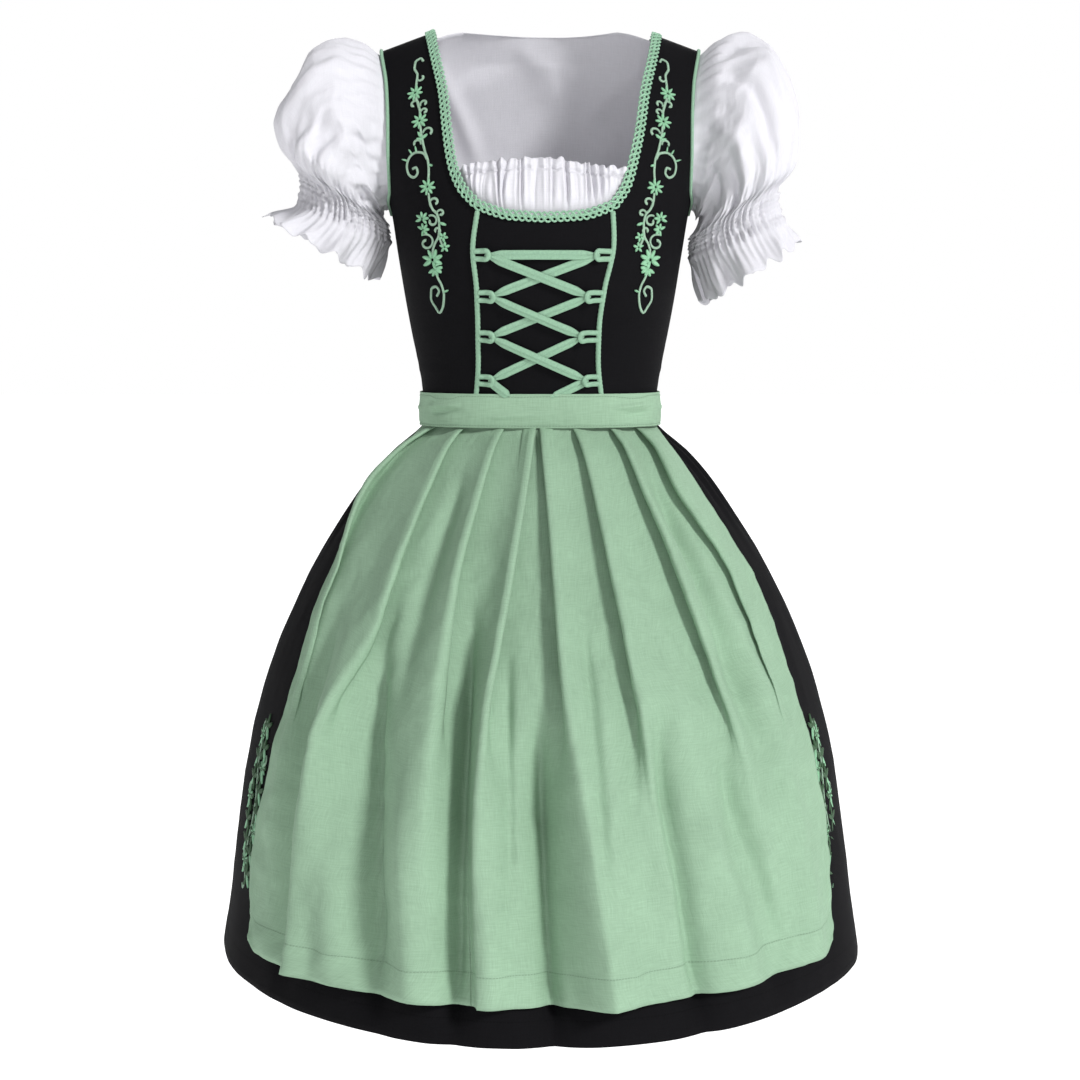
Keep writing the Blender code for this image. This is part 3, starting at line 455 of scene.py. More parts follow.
class Threads:
    """Many swept strands gathered into one mesh."""

    def __init__(self):
        self.points, self.faces, self.uv, self.count = [], [], [], 0

    def sweep(self, path, normals, widths, heights, profile, closed=False):
        """Sweeps a profile of (across, out) points, scaled by widths and heights, along a
        path whose outward normals are given."""
        path, normals = np.asarray(path, float), np.asarray(normals, float)
        n, k = len(path), len(profile)
        if closed:
            along = np.roll(path, -1, 0) - np.roll(path, 1, 0)
        else:
            along = np.gradient(path, axis=0)
        along /= np.maximum(np.linalg.norm(along, axis=1, keepdims=True), 1e-12)
        side = np.cross(along, normals)
        side /= np.maximum(np.linalg.norm(side, axis=1, keepdims=True), 1e-12)
        up = np.cross(side, along)
        widths = np.broadcast_to(widths, n)[:, None, None]
        heights = np.broadcast_to(heights, n)[:, None, None]
        profile = np.asarray(profile, float)
        ring = (path[:, None] + side[:, None] * profile[..., 0:1] * widths
                + up[:, None] * profile[..., 1:2] * heights)
        steps = np.linalg.norm(np.diff(path, axis=0), axis=1).cumsum()
        length = np.concatenate([[0], steps])
        around = np.linspace(0, 1, k) * float(np.mean(widths)) * 2
        r, c = np.meshgrid(np.arange(n if closed else n - 1), np.arange(k), indexing="ij")
        a, b = r * k + c, r * k + (c + 1) % k
        e, f = ((r + 1) % n) * k + (c + 1) % k, ((r + 1) % n) * k + c
        cells = (np.stack([a, b, e, f], -1).reshape(-1, 4) + self.count).tolist()
        if not closed:
            cells.append([self.count + i for i in range(k)][::-1])
            cells.append([self.count + (n - 1) * k + i for i in range(k)])
        self.points.append(ring.reshape(-1, 3))
        self.uv.append(np.stack(np.broadcast_arrays(around[None, :], length[:, None]),
                                -1).reshape(-1, 2))
        self.faces += cells
        self.count += n * k

    def make(self, name, stuff="trim", node_names=None):
        nodes = [name] if node_names is None else node_names
        return make_piece(name, np.concatenate(self.points), self.faces,
                          np.concatenate(self.uv), stuff, nodes)


def round_profile(sides):
    turn = np.arange(sides) * 2 * np.pi / sides
    return np.stack([np.cos(turn), np.sin(turn)], -1)


def half_round_profile(sides=5):
    """A flat-backed bead: a row of points over the top and two at the base."""
    turn = np.linspace(0, np.pi, sides)
    return np.stack([np.cos(turn), np.sin(turn)], -1)


# ---------------------------------------------------------------- materials
class Nodes:
    """A material's nodes, added with their values and wired as they are made."""

    def __init__(self, name, roughness, sheen, sheen_tint, gloss=0.25):
        self.material = bpy.data.materials.new(name)
        self.material.use_nodes = True
        self.tree = self.material.node_tree
        self.shader = self.tree.nodes["Principled BSDF"]
        self.shader.inputs["Roughness"].default_value = roughness
        self.shader.inputs["Sheen Weight"].default_value = sheen
        self.shader.inputs["Sheen Roughness"].default_value = 0.45
        self.shader.inputs["Sheen Tint"].default_value = (*sheen_tint, 1)
        self.shader.inputs["Specular IOR Level"].default_value = gloss
        self.uv = self.add("ShaderNodeUVMap")
        self.uv.uv_map = "cloth"

    def add(self, kind, values=(), **settings):
        node = self.tree.nodes.new(kind)
        for key, value in settings.items():
            setattr(node, key, value)
        return self.feed(node, dict(values).items())

    def feed(self, node, values):
        """Links or sets the node's inputs, given as (name or number, value)."""
        for socket, value in values:
            if isinstance(value, bpy.types.NodeSocket):
                self.tree.links.new(value, node.inputs[socket])
            else:
                node.inputs[socket].default_value = value
        return node

    def maths(self, operation, *values):
        node = self.add("ShaderNodeMath", operation=operation)
        return self.feed(node, enumerate(values)).outputs[0]

    def scaled(self, x, y):
        """The cloth's coordinates, in repeats of 1/x metres across and 1/y along."""
        return self.add("ShaderNodeMapping", {"Vector": self.uv.outputs["UV"],
                                              "Scale": (x, y, 1)}).outputs["Vector"]

    def noise(self, x, y, detail=2.0):
        return self.add("ShaderNodeTexNoise", {"Vector": self.scaled(x, y), "Scale": 1.0,
                                               "Detail": detail}).outputs["Fac"]

    def weave(self, pitch):
        """Plain weave: threads across over threads along, turn about."""
        parts = self.add("ShaderNodeSeparateXYZ",
                         {"Vector": self.scaled(math.pi / pitch, math.pi / pitch)})
        across = self.maths("SINE", parts.outputs["X"])
        along = self.maths("SINE", parts.outputs["Y"])
        return self.maths("MULTIPLY", across, along)

    def mix(self, share, first, second):
        """Colours mixed by share, whose sockets on this node have only numbers."""
        node = self.add("ShaderNodeMix", data_type="RGBA")
        return self.feed(node, ((0, share), (6, first), (7, second))).outputs[2]

    def ramp(self, value, low, high):
        """value from low to high as 0 to 1."""
        return self.add("ShaderNodeMapRange", {"Value": value, "From Min": low,
                                               "From Max": high}).outputs["Result"]

    def stitches(self, axis, at, pitch=0.0032, width=0.0005):
        """1 on a row of stitches at that distance along the axis."""
        parts = self.add("ShaderNodeSeparateXYZ", {"Vector": self.uv.outputs["UV"]})
        off = self.maths("ABSOLUTE", self.maths("SUBTRACT", parts.outputs[axis], at))
        line = self.maths("LESS_THAN", off, width)
        other = parts.outputs["X" if axis == "Y" else "Y"]
        beat = self.maths("FRACT", self.maths("DIVIDE", other, pitch))
        return self.maths("MULTIPLY", line, self.maths("LESS_THAN", beat, 0.7))

    def finish(self, colour, height, distance):
        bump = self.add("ShaderNodeBump", {"Height": height, "Distance": distance,
                                           "Strength": 1.0})
        self.tree.links.new(bump.outputs["Normal"], self.shader.inputs["Normal"])
        self.tree.links.new(colour, self.shader.inputs["Base Color"])
        return self.material


COTTON_ROUGHNESS, COTTON_BUMP = 0.86, 0.00022
COTTON_TINTS, THREAD_DYE_AND_SHADE_TINTS = (0.62, 1.38), (0.72, 1.2)   # darkest and lightest share of dye; in thread they also carry the painted shade in the ply grooves and the painted highlight on the ply crests


def cotton(name, colour, pitch, variation, slubs, sheen=0.15, gloss=0.25, seams=()):
    """Plain-weave cotton: threads, thicker slub threads, and uneven dye. seams is a list of
    (axis, distance) rows of stitching."""
    nodes = Nodes(name, COTTON_ROUGHNESS, sheen, [min(1.0, c * 1.5 + 0.1) for c in colour],
                  gloss)
    weave = nodes.weave(pitch)
    across, along = nodes.noise(60, 900), nodes.noise(900, 60)
    slub = nodes.maths("ADD", across, along)
    mottle = nodes.noise(16, 16, 3.0)
    tone = nodes.maths("ADD", nodes.maths("MULTIPLY", nodes.maths("SUBTRACT", slub, 1.0),
                                          slubs),
                       nodes.maths("MULTIPLY", nodes.maths("SUBTRACT", mottle, 0.5),
                                   variation))
    tone = nodes.maths("ADD", tone, nodes.maths("MULTIPLY", weave, 0.04))
    share = nodes.ramp(tone, -0.5, 0.5)
    dark, light = [(*[min(1.0, c * tint) for c in colour], 1) for tint in COTTON_TINTS]
    shade = nodes.mix(share, dark, light)
    height = nodes.maths("ADD", nodes.maths("MULTIPLY", weave, 0.25),
                         nodes.maths("MULTIPLY", slub, 0.55))
    for axis, at in seams:
        stitch = nodes.stitches(axis, at)
        shade = nodes.mix(nodes.maths("MULTIPLY", stitch, 0.55), shade, dark)
        height = nodes.maths("SUBTRACT", height, nodes.maths("MULTIPLY", stitch, 1.4))
    return nodes.finish(shade, height, COTTON_BUMP)


def thread(name, colour, pitch=0.0011, depth=0.00018):
    """Shiny twisted thread: slanting plies, with painted highlights on them and painted shade
    in the grooves between them.
    """
    nodes = Nodes(name, 0.55, 0.25, [min(1.0, c * 1.3 + 0.1) for c in colour])
    parts = nodes.add("ShaderNodeSeparateXYZ",
                      {"Vector": nodes.scaled(2 * math.pi / pitch, 2 * math.pi / pitch)})
    ply = nodes.maths("SINE", nodes.maths("ADD", parts.outputs["X"], parts.outputs["Y"]))
    fuzz = nodes.noise(700, 500)
    # The ply stripes in the colour are painted highlight on the crests and painted shade in the
    # grooves; the fuzz is uneven dye.
    share = nodes.ramp(nodes.maths("ADD", nodes.maths("MULTIPLY", ply, 0.35), fuzz),
                       -0.1, 1.1)
    dark, light = [(*[min(1.0, c * tint) for c in colour], 1) for tint in THREAD_DYE_AND_SHADE_TINTS]
    shade = nodes.mix(share, dark, light)
    return nodes.finish(shade, nodes.maths("ADD", ply, fuzz), depth)


BLACK, WHITE = (0.0045, 0.0043, 0.0052), (0.675, 0.668, 0.708)
GREEN, TRIM = (0.266, 0.404, 0.281), (0.31, 0.52, 0.36)
HEM_STITCH, HEM_DEPTH, BAND_STITCH = 0.030, 0.024, 0.0022   # in from each edge

materials = {
    "bodice": cotton("bodice_cotton", BLACK, 0.0007, 0.35, 0.5, 0.02, 0.08),
    "skirt": cotton("skirt_cotton", BLACK, 0.0007, 0.35, 0.5, 0.02, 0.08,
                    [("Y", HEM_DEPTH)]),
    "blouse": cotton("blouse_cotton", WHITE, 0.0006, 0.10, 0.16, sheen=0.1),
    "apron": cotton("apron_cotton", GREEN, 0.0008, 0.30, 0.42,
                    seams=[("Y", HEM_STITCH)]),
    "band": cotton("band_cotton", GREEN, 0.0008, 0.30, 0.42,
                   seams=[("Y", BAND_STITCH), ("Y", BAND_TOP - BAND_BOTTOM - BAND_STITCH)]),
    "ribbon": cotton("bow_cotton", GREEN, 0.0008, 0.30, 0.42),
    "trim": thread("trim_thread", TRIM),
    "braid": thread("braid_thread", (0.36, 0.62, 0.43), 0.0016, 0.0003),
    "vine": thread("vine_thread", (0.40, 0.60, 0.44), 0.0008),
    "petal": thread("petal_thread", (0.34, 0.68, 0.42), 0.0008),
    "leaf": thread("leaf_thread", (0.045, 0.115, 0.050), 0.0008)}


# ---------------------------------------------------------------- bodice
DART_AT_WAIST, DART_LEAN, DART_TOP = 0.024, 1 / 6, -0.225
DART_DEPTH, DART_WIDTH = 0.0009, 0.0011
SEAM_DEPTH, SEAM_WIDTH = 0.0006, 0.0010


def bodice_surface(x, height, back, out=0.0):
    return on_form(torso_form, angle_at(x, height, back), height, out)


def bodice_creases(x, height):
    """Small drag lines at the waist and under the arms."""
    low = ease((-0.30 - height) / 0.06)
    line = 0.0006 * low * crumple(x * 0.5, height * 2.2, 0.030, 11)
    return line + 0.0005 * noise(x, height, 0.060, 12)


def centre_panel(name, back):
    """The middle panel, from the waist up to the neckline, with its darts."""
    neck, corner = (BACK_NECKLINE, BACK_CORNER) if back else (NECKLINE, FRONT_CORNER)
    lip = dict(columns=neck["columns"], rows=neck["rows"][corner:])
    lip_half, _, lip_shift = lip["rows"][0]
    across, t = np.meshgrid(np.linspace(-1, 1, 51), np.linspace(0, 1, 80))
    top = smooth(lip, np.abs(across) * lip_half, "height", by="half_width")
    height = WAIST_SEAM + t * (top - WAIST_SEAM)
    half, shift = neck_half(height, back)
    half = half + (lip_half - half) * ease((t - 0.97) / 0.03)
    shift = shift + (lip_shift - shift) * ease((t - 0.97) / 0.03)
    x = across * half + shift
    out = bodice_creases(x, height)
    for side in (-1, 1):
        dart = side * (DART_AT_WAIST + DART_LEAN * (height - WAIST_SEAM))
        out = out - DART_DEPTH * hump(x - dart, DART_WIDTH) * ease((DART_TOP - height) / 0.02)
    if back:
        out = out - SEAM_DEPTH * hump(x, SEAM_WIDTH)
    cloth(name, bodice_surface(x, height, back, out), CLOTH_WALL, "bodice")


def side_panel(name, side, back):
    """A side front or side back with its strap, from the waist to the shoulder."""
    t, height = np.meshgrid(np.linspace(0, 1, 36), np.linspace(WAIST_SEAM, 0, 140))
    half, shift = neck_half(height, back)
    inner = np.abs(angle_at(half + side * shift, height, back))
    angle = side * (inner + t * (armhole_angle(height, back) - inner))
    x = torso_form(angle, height)[..., 0]
    out = bodice_creases(x + 0.3, height)
    cloth(name, on_form(torso_form, angle, height, out), CLOTH_WALL, "bodice")


def make_bodice():
    centre_panel("bodice_front_centre", back=False)
    centre_panel("bodice_back_centre", back=True)
    for label, side in (("right", -1), ("left", 1)):
        side_panel("bodice_side_front_" + label, side, back=False)
        side_panel("bodice_side_back_" + label, side, back=True)


# ---------------------------------------------------------------- trims
def resample(path, step):
    """The same path with its points evenly spaced by its first three columns."""
    path = np.asarray(path, float)
    gaps = np.linalg.norm(np.diff(path[:, :3], axis=0), axis=1)
    length = np.concatenate([[0], gaps.cumsum()])
    at = np.linspace(0, length[-1], max(int(length[-1] / step), 3) + 1)
    return np.stack([np.interp(at, length, path[:, k]) for k in range(path.shape[1])], -1)


def joined(points, normals):
    """Lists of points and of their normals as one array, a row for each point."""
    return np.concatenate([np.concatenate(points), np.concatenate(normals)], 1)


def neck_path():
    """(point, normal) round the neck edge, front from +X to -X, then the back."""
    points, normals = [], []
    for neck, corner, back in ((NECKLINE, FRONT_CORNER, False),
                               (BACK_NECKLINE, BACK_CORNER, True)):
        height = -np.linspace(0, 1, 80) ** 1.6 * -neck["rows"][corner][1]
        half, shift = neck_half(height + 1e-6, back)
        lip = dict(columns=neck["columns"], rows=neck["rows"][corner:])
        across = np.linspace(1, 0, 40)[1:] * neck["rows"][corner][0]
        half = np.concatenate([half, across])
        shift = np.concatenate([shift, smooth(lip, across, "shift", by="half_width")])
        height = np.concatenate([height, smooth(lip, across, "height", by="half_width")])
        start = -1 if back else 1
        x = np.concatenate([start * half + shift, (-start * half + shift)[-2::-1]])
        height = np.concatenate([height, height[-2::-1]])
        angle = angle_at(x, height, back)
        points.append(torso_form(angle, height)[1 if back else 0:-1 if back else None])
        normals.append(normal_of(torso_form, angle, np.minimum(height, -0.002))
                       [1 if back else 0:-1 if back else None])
    both = joined(points, normals)
    return np.concatenate([both, both[:1]])


BRAID_STEP, BRAID_PERIOD = 0.0010, 0.0125
BRAID_CHAINS = (-0.0040, 0.0008)   # each chain's middle, from the neck's edge into it
BRAID_SWING, BRAID_STRAND = 0.0023, 0.00098
BRAID_LIFT, BRAID_OVER = 0.0020, 0.0006


def make_braid():
    """Two chains of crossing cords side by side, with the cloth showing between them."""
    both = resample(neck_path(), BRAID_STEP)[:-1]
    edge, normal = both[:, :3], both[:, 3:]
    normal /= np.linalg.norm(normal, axis=1, keepdims=True)
    for _ in range(4):
        normal = (np.roll(normal, 1, 0) + normal + np.roll(normal, -1, 0)) / 3
    along = np.roll(edge, -1, 0) - np.roll(edge, 1, 0)
    along /= np.linalg.norm(along, axis=1, keepdims=True)
    side = np.cross(along, normal)
    centre = np.array([0.0, 0.0, edge[:, 2].mean()])
    repeats = round(len(edge) * BRAID_STEP / BRAID_PERIOD)
    phase = np.arange(len(edge)) / len(edge) * repeats * 2 * np.pi
    braid = Threads()
    inward = np.sign((side * (centre - edge)).sum())
    for index, middle in enumerate(BRAID_CHAINS):
        for sign in (-1, 1):
            turn = phase + index * np.pi / 2
            lateral = middle + sign * BRAID_SWING * np.sin(turn)
            lift = BRAID_LIFT + sign * BRAID_OVER * np.cos(turn)
            path = edge + side * (inward * lateral)[:, None] + normal * lift[:, None]
            braid.sweep(path, normal, BRAID_STRAND * 1.15, BRAID_STRAND, round_profile(6),
                        closed=True)
    return braid.make("neck_braid", "braid")


PIPING_HALF, PIPING_RISE = 0.0027, 0.0020
CORD_HALF, CORD_RISE = 0.0019, 0.0017


def make_piping():
    """Flat cord down the front seams and fine cord round the armholes."""
    for label, side in (("right", -1), ("left", 1)):
        height = np.linspace(BAND_TOP - 0.006, -0.1905, 220)
        half, shift = neck_half(height, False)
        angle = angle_at(side * half + shift, height)
        cord = Threads()
        ripple = 1 + 0.07 * np.sin(2 * np.pi * np.arange(len(height)) / 5)
        cord.sweep(on_form(torso_form, angle, height, 0.0008),
                   normal_of(torso_form, angle, height), PIPING_HALF * ripple,
                   PIPING_RISE, half_round_profile(7))
        cord.make("piping_front_" + label)
        height = -np.linspace(0, 1, 120) ** 1.4 * -(UNDERARM - 0.0015)
        points, normals = [], []
        for back in (False, True):
            angle = armhole_angle(height, back, 0.0008)
            line = on_form(torso_form, side * angle, height, 0.0010)
            faces = normal_of(torso_form, side * angle, np.minimum(height, -0.002))
            points.append(line[::-1][1:] if back else line)
            normals.append(faces[::-1][1:] if back else faces)
        cord = Threads()
        both = resample(joined(points, normals), 0.0022)
        cord.sweep(both[:, :3], both[:, 3:], CORD_HALF, CORD_RISE, round_profile(7))
        cord.make("piping_armhole_" + label)


def on_front(x, height, out):
    angle = angle_at(x, height)
    return on_form(torso_form, angle, height, out), normal_of(torso_form, angle, height)


LOOP_HALF_HEIGHT, LOOP_HALF_WIDTH, LOOP_RISE = 0.0040, 0.0027, 0.0017
LOOP_LIFT, LOOP_LIFT_AT_SEAM = 0.0042, 0.0012


def make_loops():
    """Folded ribbon loops caught beside the front seam, their ends lying flat."""
    profile = [(1, 0.1), (0.8, 0.75), (0, 1), (-0.8, 0.75), (-1, 0.1), (0, -0.1)]
    for label, side in (("right", -1), ("left", 1)):
        for number, (height, right_tip, left_tip) in enumerate(LOOPS["rows"]):
            tip = right_tip if side < 0 else left_tip
            half, shift = neck_half(height, False)
            base, bend = float(half + side * shift) - 0.0010, LOOP_HALF_HEIGHT
            turn = np.linspace(0, np.pi, 11)
            arc = np.stack([tip + bend * (1 - 0.75 * np.sin(turn)), bend * np.cos(turn)], -1)
            start = np.array([[base, bend * 0.9]])
            end = np.array([[base, -bend * 0.9]])
            line = resample(np.concatenate([start, arc, end]), 0.0010)
            near = ease((line[:, 0] - tip - 0.002) / 0.008)
            lift = LOOP_LIFT + (LOOP_LIFT_AT_SEAM - LOOP_LIFT) * near
            points, normals = on_front(side * line[:, 0], height + line[:, 1], lift)
            loop = Threads()
            loop.sweep(points, normals, LOOP_HALF_WIDTH, LOOP_RISE, profile)
            loop.make("loop_%s_%d" % (label, number + 1))


RIBBON_HALF, RIBBON_THICK, RIBBON_STITCH = 0.0047, 0.0010, 0.0023
RIBBON_IN_LOOP, LIFT_IN_LOOP, PAST_LOOP = 0.0017, 0.0024, 0.0045
LACE_STEP = 0.00055


def make_lace():
    """One ribbon laced through the loops, with a stitched rib down its middle."""
    stops = []
    for side, number, rise in LACE["rows"]:
        if side:
            row = LOOPS["rows"][number]
            sign = -1 if side == "right" else 1
            tip = row[1] if sign < 0 else row[2]
            stops.append((sign * (tip + PAST_LOOP), row[0], rise))
        else:
            stops.append((*LACE_ENDS[number], rise))
    line = []
    for (x, height, rise), (far_x, far_height, _) in zip(stops[:-1], stops[1:]):
        t = np.linspace(0, 1, 60)[:-1]
        arch = ease(t / 0.25) * ease((1 - t) / 0.25)
        wide = ease(t / 0.16) * ease((1 - t) / 0.16)
        half = RIBBON_IN_LOOP + (RIBBON_HALF - RIBBON_IN_LOOP) * wide
        line.append(np.stack([x + (far_x - x) * t, height + (far_height - height) * t,
                              LIFT_IN_LOOP + (rise - LIFT_IN_LOOP) * arch, half], -1))
    line.append(np.array([[*stops[-1][:2], 0.0016, RIBBON_HALF]]))
    line = resample(np.concatenate(line), LACE_STEP)
    for _ in range(3):
        line[1:-1] = (line[:-2] + line[1:-1] + line[2:]) / 3
    points, normals = on_front(line[:, 0], line[:, 1], line[:, 2])
    step = np.arange(len(line)) * LACE_STEP
    rib = 0.20 + 0.55 * np.abs(np.sin(np.pi * step / RIBBON_STITCH))
    across = np.array([1.0, 0.96, 0.80, 0.30, 0.12, 0.0, -0.12, -0.30, -0.80, -0.96, -1.0])
    out = np.array([0.0, 0.75, 0.95, 0.85, 0.85, 0.85, 0.85, 0.85, 0.95, 0.75, 0.0])
    rib_shape = np.array([0.7, 1.0, 0.7])
    profile = np.zeros((len(across) + 1, 2))
    profile[:-1, 0], profile[:-1, 1] = across, out
    profile[4:7, 1] += rib[0] * rib_shape
    profile[-1] = (0.0, -0.2)
    lace = Threads()
    lace.sweep(points, normals, line[:, 3], RIBBON_THICK, profile)
    ring = lace.points[0].reshape(len(line), -1, 3)
    ring[:, 4:7] += (normals[:, None] * (rib[:, None] * rib_shape)[..., None]
                     * RIBBON_THICK * 0.8)
    return lace.make("lace")


# ---------------------------------------------------------------- embroidery
THREAD_LIFT, THREAD_RISE, PETAL_RISE = 0.0002, 0.0011, 0.0014
THREAD_SIDES = 5


class Embroidery:
    """Raised threads on a surface. place(x, z) gives the point and the normal there."""

    def __init__(self, place, mirror):
        self.place, self.mirror = place, mirror
        self.stems, self.petals, self.leaves = Threads(), Threads(), Threads()

    def line(self, threads, path, width, height):
        path = np.asarray(path, float)
        points, normals = self.place(path[:, 0] * self.mirror, path[:, 1])
        points = points + normals * 0.0003
        threads.sweep(points, normals, width, height, half_round_profile(THREAD_SIDES))

    def stem(self, *points, width=0.0014):
        """A smooth line through the points."""
        points = np.array(points, float)
        at = np.arange(len(points))
        t = np.linspace(0, at[-1], len(points) * 10)
        path = np.stack([curve_through(at, points[:, k], t) for k in (0, 1)], -1)
        self.line(self.stems, resample(path, 0.0012), width, THREAD_RISE)

    def scroll(self, x, z, radius, start, turn, tail=0.25, width=0.0013):
        """A spiral round (x, z) from its radius in to tail times it, angles in degrees
        anticlockwise from +X."""
        angle = np.radians(np.linspace(start, start + turn, max(int(abs(turn) / 12), 8)))
        r = radius * np.linspace(1, tail, len(angle))
        path = np.stack([x + r * np.cos(angle), z + r * np.sin(angle)], -1)
        fade = width * np.linspace(0.8, 1.25, len(angle))
        self.line(self.stems, path, fade, THREAD_RISE)

    def petal(self, threads, x, z, angle, inner, outer, width):
        a = math.radians(angle)
        r = np.linspace(inner, outer, 7)
        path = np.stack([x + r * math.cos(a), z + r * math.sin(a)], -1)
        shape = np.sin(np.linspace(0.35, math.pi - 0.25, 7)) ** 0.7
        self.line(threads, path, width * shape, PETAL_RISE)

    def daisy(self, x, z, radius, count=8, start=0, spread=360, width=0.0017):
        for k in range(count):
            self.petal(self.petals, x, z, start + spread * k / count, radius * 0.15, radius,
                       width)

    def leaf(self, x, z, angle, length, width=0.0018, dark=False):
        self.petal(self.leaves if dark else self.petals, x, z, angle, 0.0, length, width)

    def make(self, name):
        self.stems.make(name + "_vine", "vine", [])
        self.petals.make(name + "_petals", "petal", [])
        if self.leaves.points:
            self.leaves.make(name + "_leaves", "leaf", [])


# The strap's embroidery on the wearer's left, as x and height: the vine's lines, its
# curled tendrils, the daisies and the single leaves. Angles are anticlockwise from +X.
VINE = [
    ((0.1205, -0.0330), (0.1235, -0.0285), (0.1285, -0.0300), (0.1295, -0.0370),
     (0.1262, -0.0460), (0.1270, -0.0550), (0.1275, -0.0620)),
    ((0.1270, -0.0700), (0.1245, -0.0790), (0.1225, -0.0870), (0.1225, -0.0930)),
    ((0.1220, -0.1010), (0.1210, -0.1090), (0.1195, -0.1170), (0.1170, -0.1280),
     (0.1135, -0.1390), (0.1125, -0.1500), (0.1130, -0.1590)),
    ((0.1145, -0.1370), (0.1185, -0.1305), (0.1260, -0.1285), (0.1330, -0.1330),
     (0.1355, -0.1415), (0.1335, -0.1500), (0.1280, -0.1540), (0.1240, -0.1495),
     (0.1260, -0.1440), (0.1295, -0.1450)),
    ((0.1125, -0.1710), (0.1115, -0.1790), (0.1085, -0.1870), (0.1035, -0.1930),
     (0.1015, -0.2030), (0.1020, -0.2130), (0.1060, -0.2210)),
    ((0.1020, -0.2130), (0.1000, -0.2190), (0.0975, -0.2240)),
    ((0.1060, -0.2210), (0.1080, -0.2270), (0.1085, -0.2330)),
    ((0.1065, -0.2470), (0.1035, -0.2550), (0.0995, -0.2630), (0.0975, -0.2720),
     (0.0985, -0.2820), (0.1025, -0.2895), (0.1065, -0.2840), (0.1110, -0.2750),
     (0.1105, -0.2660), (0.1060, -0.2635), (0.1025, -0.2680), (0.1050, -0.2730))]
SCROLLS = dict(columns=("x", "height", "radius", "start", "turn", "tail"), rows=[
    (0.1220, -0.0500, 0.0044, 20, -250, 0.25),
    (0.1290, -0.0770, 0.0048, 190, -280, 0.25),
    (0.1185, -0.0790, 0.0042, 330, 270, 0.25),
    (0.1180, -0.0875, 0.0038, 0, 270, 0.25),
    (0.1135, -0.1100, 0.0055, 0, 230, 0.50),
    (0.1255, -0.1195, 0.0048, 200, -230, 0.40),
    (0.1060, -0.1805, 0.0060, 300, 300, 0.25),
    (0.1000, -0.1915, 0.0040, 0, 300, 0.25),
    (0.1090, -0.1990, 0.0062, 60, 330, 0.30),
    (0.1150, -0.2200, 0.0085, 70, 380, 0.25),
    (0.1040, -0.2085, 0.0040, 250, -300, 0.25)])
DAISIES = dict(columns=("x", "height", "radius", "petals", "start", "spread", "width"), rows=[
    (0.1280, -0.0650, 0.0080, 8, 12, 360, 0.0017),
    (0.1225, -0.0965, 0.0082, 8, 5, 360, 0.0017),
    (0.1135, -0.1650, 0.0082, 8, 10, 360, 0.0017),
    (0.1190, -0.1960, 0.0068, 6, -20, 300, 0.0017),
    (0.1180, -0.2070, 0.0062, 6, 30, 300, 0.0017),
    (0.0975, -0.2150, 0.0050, 5, 45, 360, 0.0015),
    (0.0960, -0.2250, 0.0052, 5, 20, 360, 0.0015),
    (0.1085, -0.2370, 0.0105, 7, -30, 330, 0.0025),
    (0.1060, -0.2460, 0.0075, 5, 170, 200, 0.0021)])
LEAVES = dict(columns=("x", "height", "angle", "length", "width"), rows=[
    (0.1205, -0.1140, 60, 0.0070, 0.0018),
    (0.1200, -0.1150, 150, 0.0065, 0.0018),
    (0.1195, -0.1165, 20, 0.0060, 0.0018),
    (0.1300, -0.1300, 60, 0.0065, 0.0010),
    (0.1345, -0.1360, 25, 0.0065, 0.0010),
    (0.1255, -0.1285, 80, 0.0065, 0.0010),
    (0.1125, -0.1430, 200, 0.0040, 0.0014),
    (0.1010, -0.2010, 200, 0.0070, 0.0016),
    (0.1005, -0.2400, 330, 0.0060, 0.0018),
    (0.0975, -0.2690, 160, 0.0050, 0.0012)])


def strap_embroidery(label, side):
    """A trailing vine with daisies down the strap and the side front."""
    work = Embroidery(lambda x, z: on_front(x + 0.0015, z, THREAD_LIFT), side)
    for points in VINE:
        work.stem(*points)
    for sew, table in ((work.scroll, SCROLLS), (work.daisy, DAISIES), (work.leaf, LEAVES)):
        for row in table["rows"]:
            sew(*row)
    work.make("embroidery_" + label)


SPRIG_TOP, SPRIG_MIDDLE, SPRIG_BOTTOM = -0.705, -0.78, -0.860
SPRIG_ANGLE, SPRIG_LEAN = 66.0, 22   # degrees round the skirt, and degrees a metre
SPRIG_ROWS, SPRIG_SPREAD = 15, 0.026


def skirt_embroidery(label, side):
    """A dense sprig down the skirt beside the apron's edge."""
    def place(across, height):
        """across is in metres from the sprig's middle line, round the skirt."""
        middle = SPRIG_ANGLE + (height - SPRIG_MIDDLE) * SPRIG_LEAN
        radius = smooth(SKIRT, height, "half_width")
        angle = side * middle + np.degrees(across / radius)
        return on_form(skirt_form, angle, height, 0.0004), normal_of(skirt_form, angle, height)

    work = Embroidery(place, side)
    top, bottom = SPRIG_TOP, SPRIG_BOTTOM
    for k in range(SPRIG_ROWS):
        height = top + (bottom - top) * (k + 0.5) / SPRIG_ROWS
        spread = SPRIG_SPREAD * math.sin(math.pi * (k + 1.2) / (SPRIG_ROWS + 1.5))
        swing = spread * (0.5 if k % 2 else -0.5)
        for j in range(5):
            away = 25 + 32 * j if k % 2 else 155 - 32 * j
            work.leaf(swing, height, -away if j % 2 else away, 0.013, 0.0030, dark=j != 1)
        if k % 3 == 1:
            work.daisy(swing * 1.2, height + 0.003, 0.0085, start=9 * k)
        if k % 3 == 0:
            work.scroll(-swing * 1.5, height, 0.0065, 40 * k, 300)
    at = np.linspace(0, 1, 9)
    work.stem(*[(0.006 * math.sin(9 * t), top + (bottom - top) * t) for t in at])
    work.stem((0.000, bottom + 0.004), (0.004, bottom - 0.006), (0.008, bottom - 0.010),
              (0.010, bottom - 0.006))
    work.make("skirt_embroidery_" + label)


# ---------------------------------------------------------------- blouse
NAPE_START, NAPE_HALF = -0.060, 0.105
NAPE_START_AT, NAPE_END_AT = (0.0781, -0.0330), (0.058, 0.0065)   # y and z

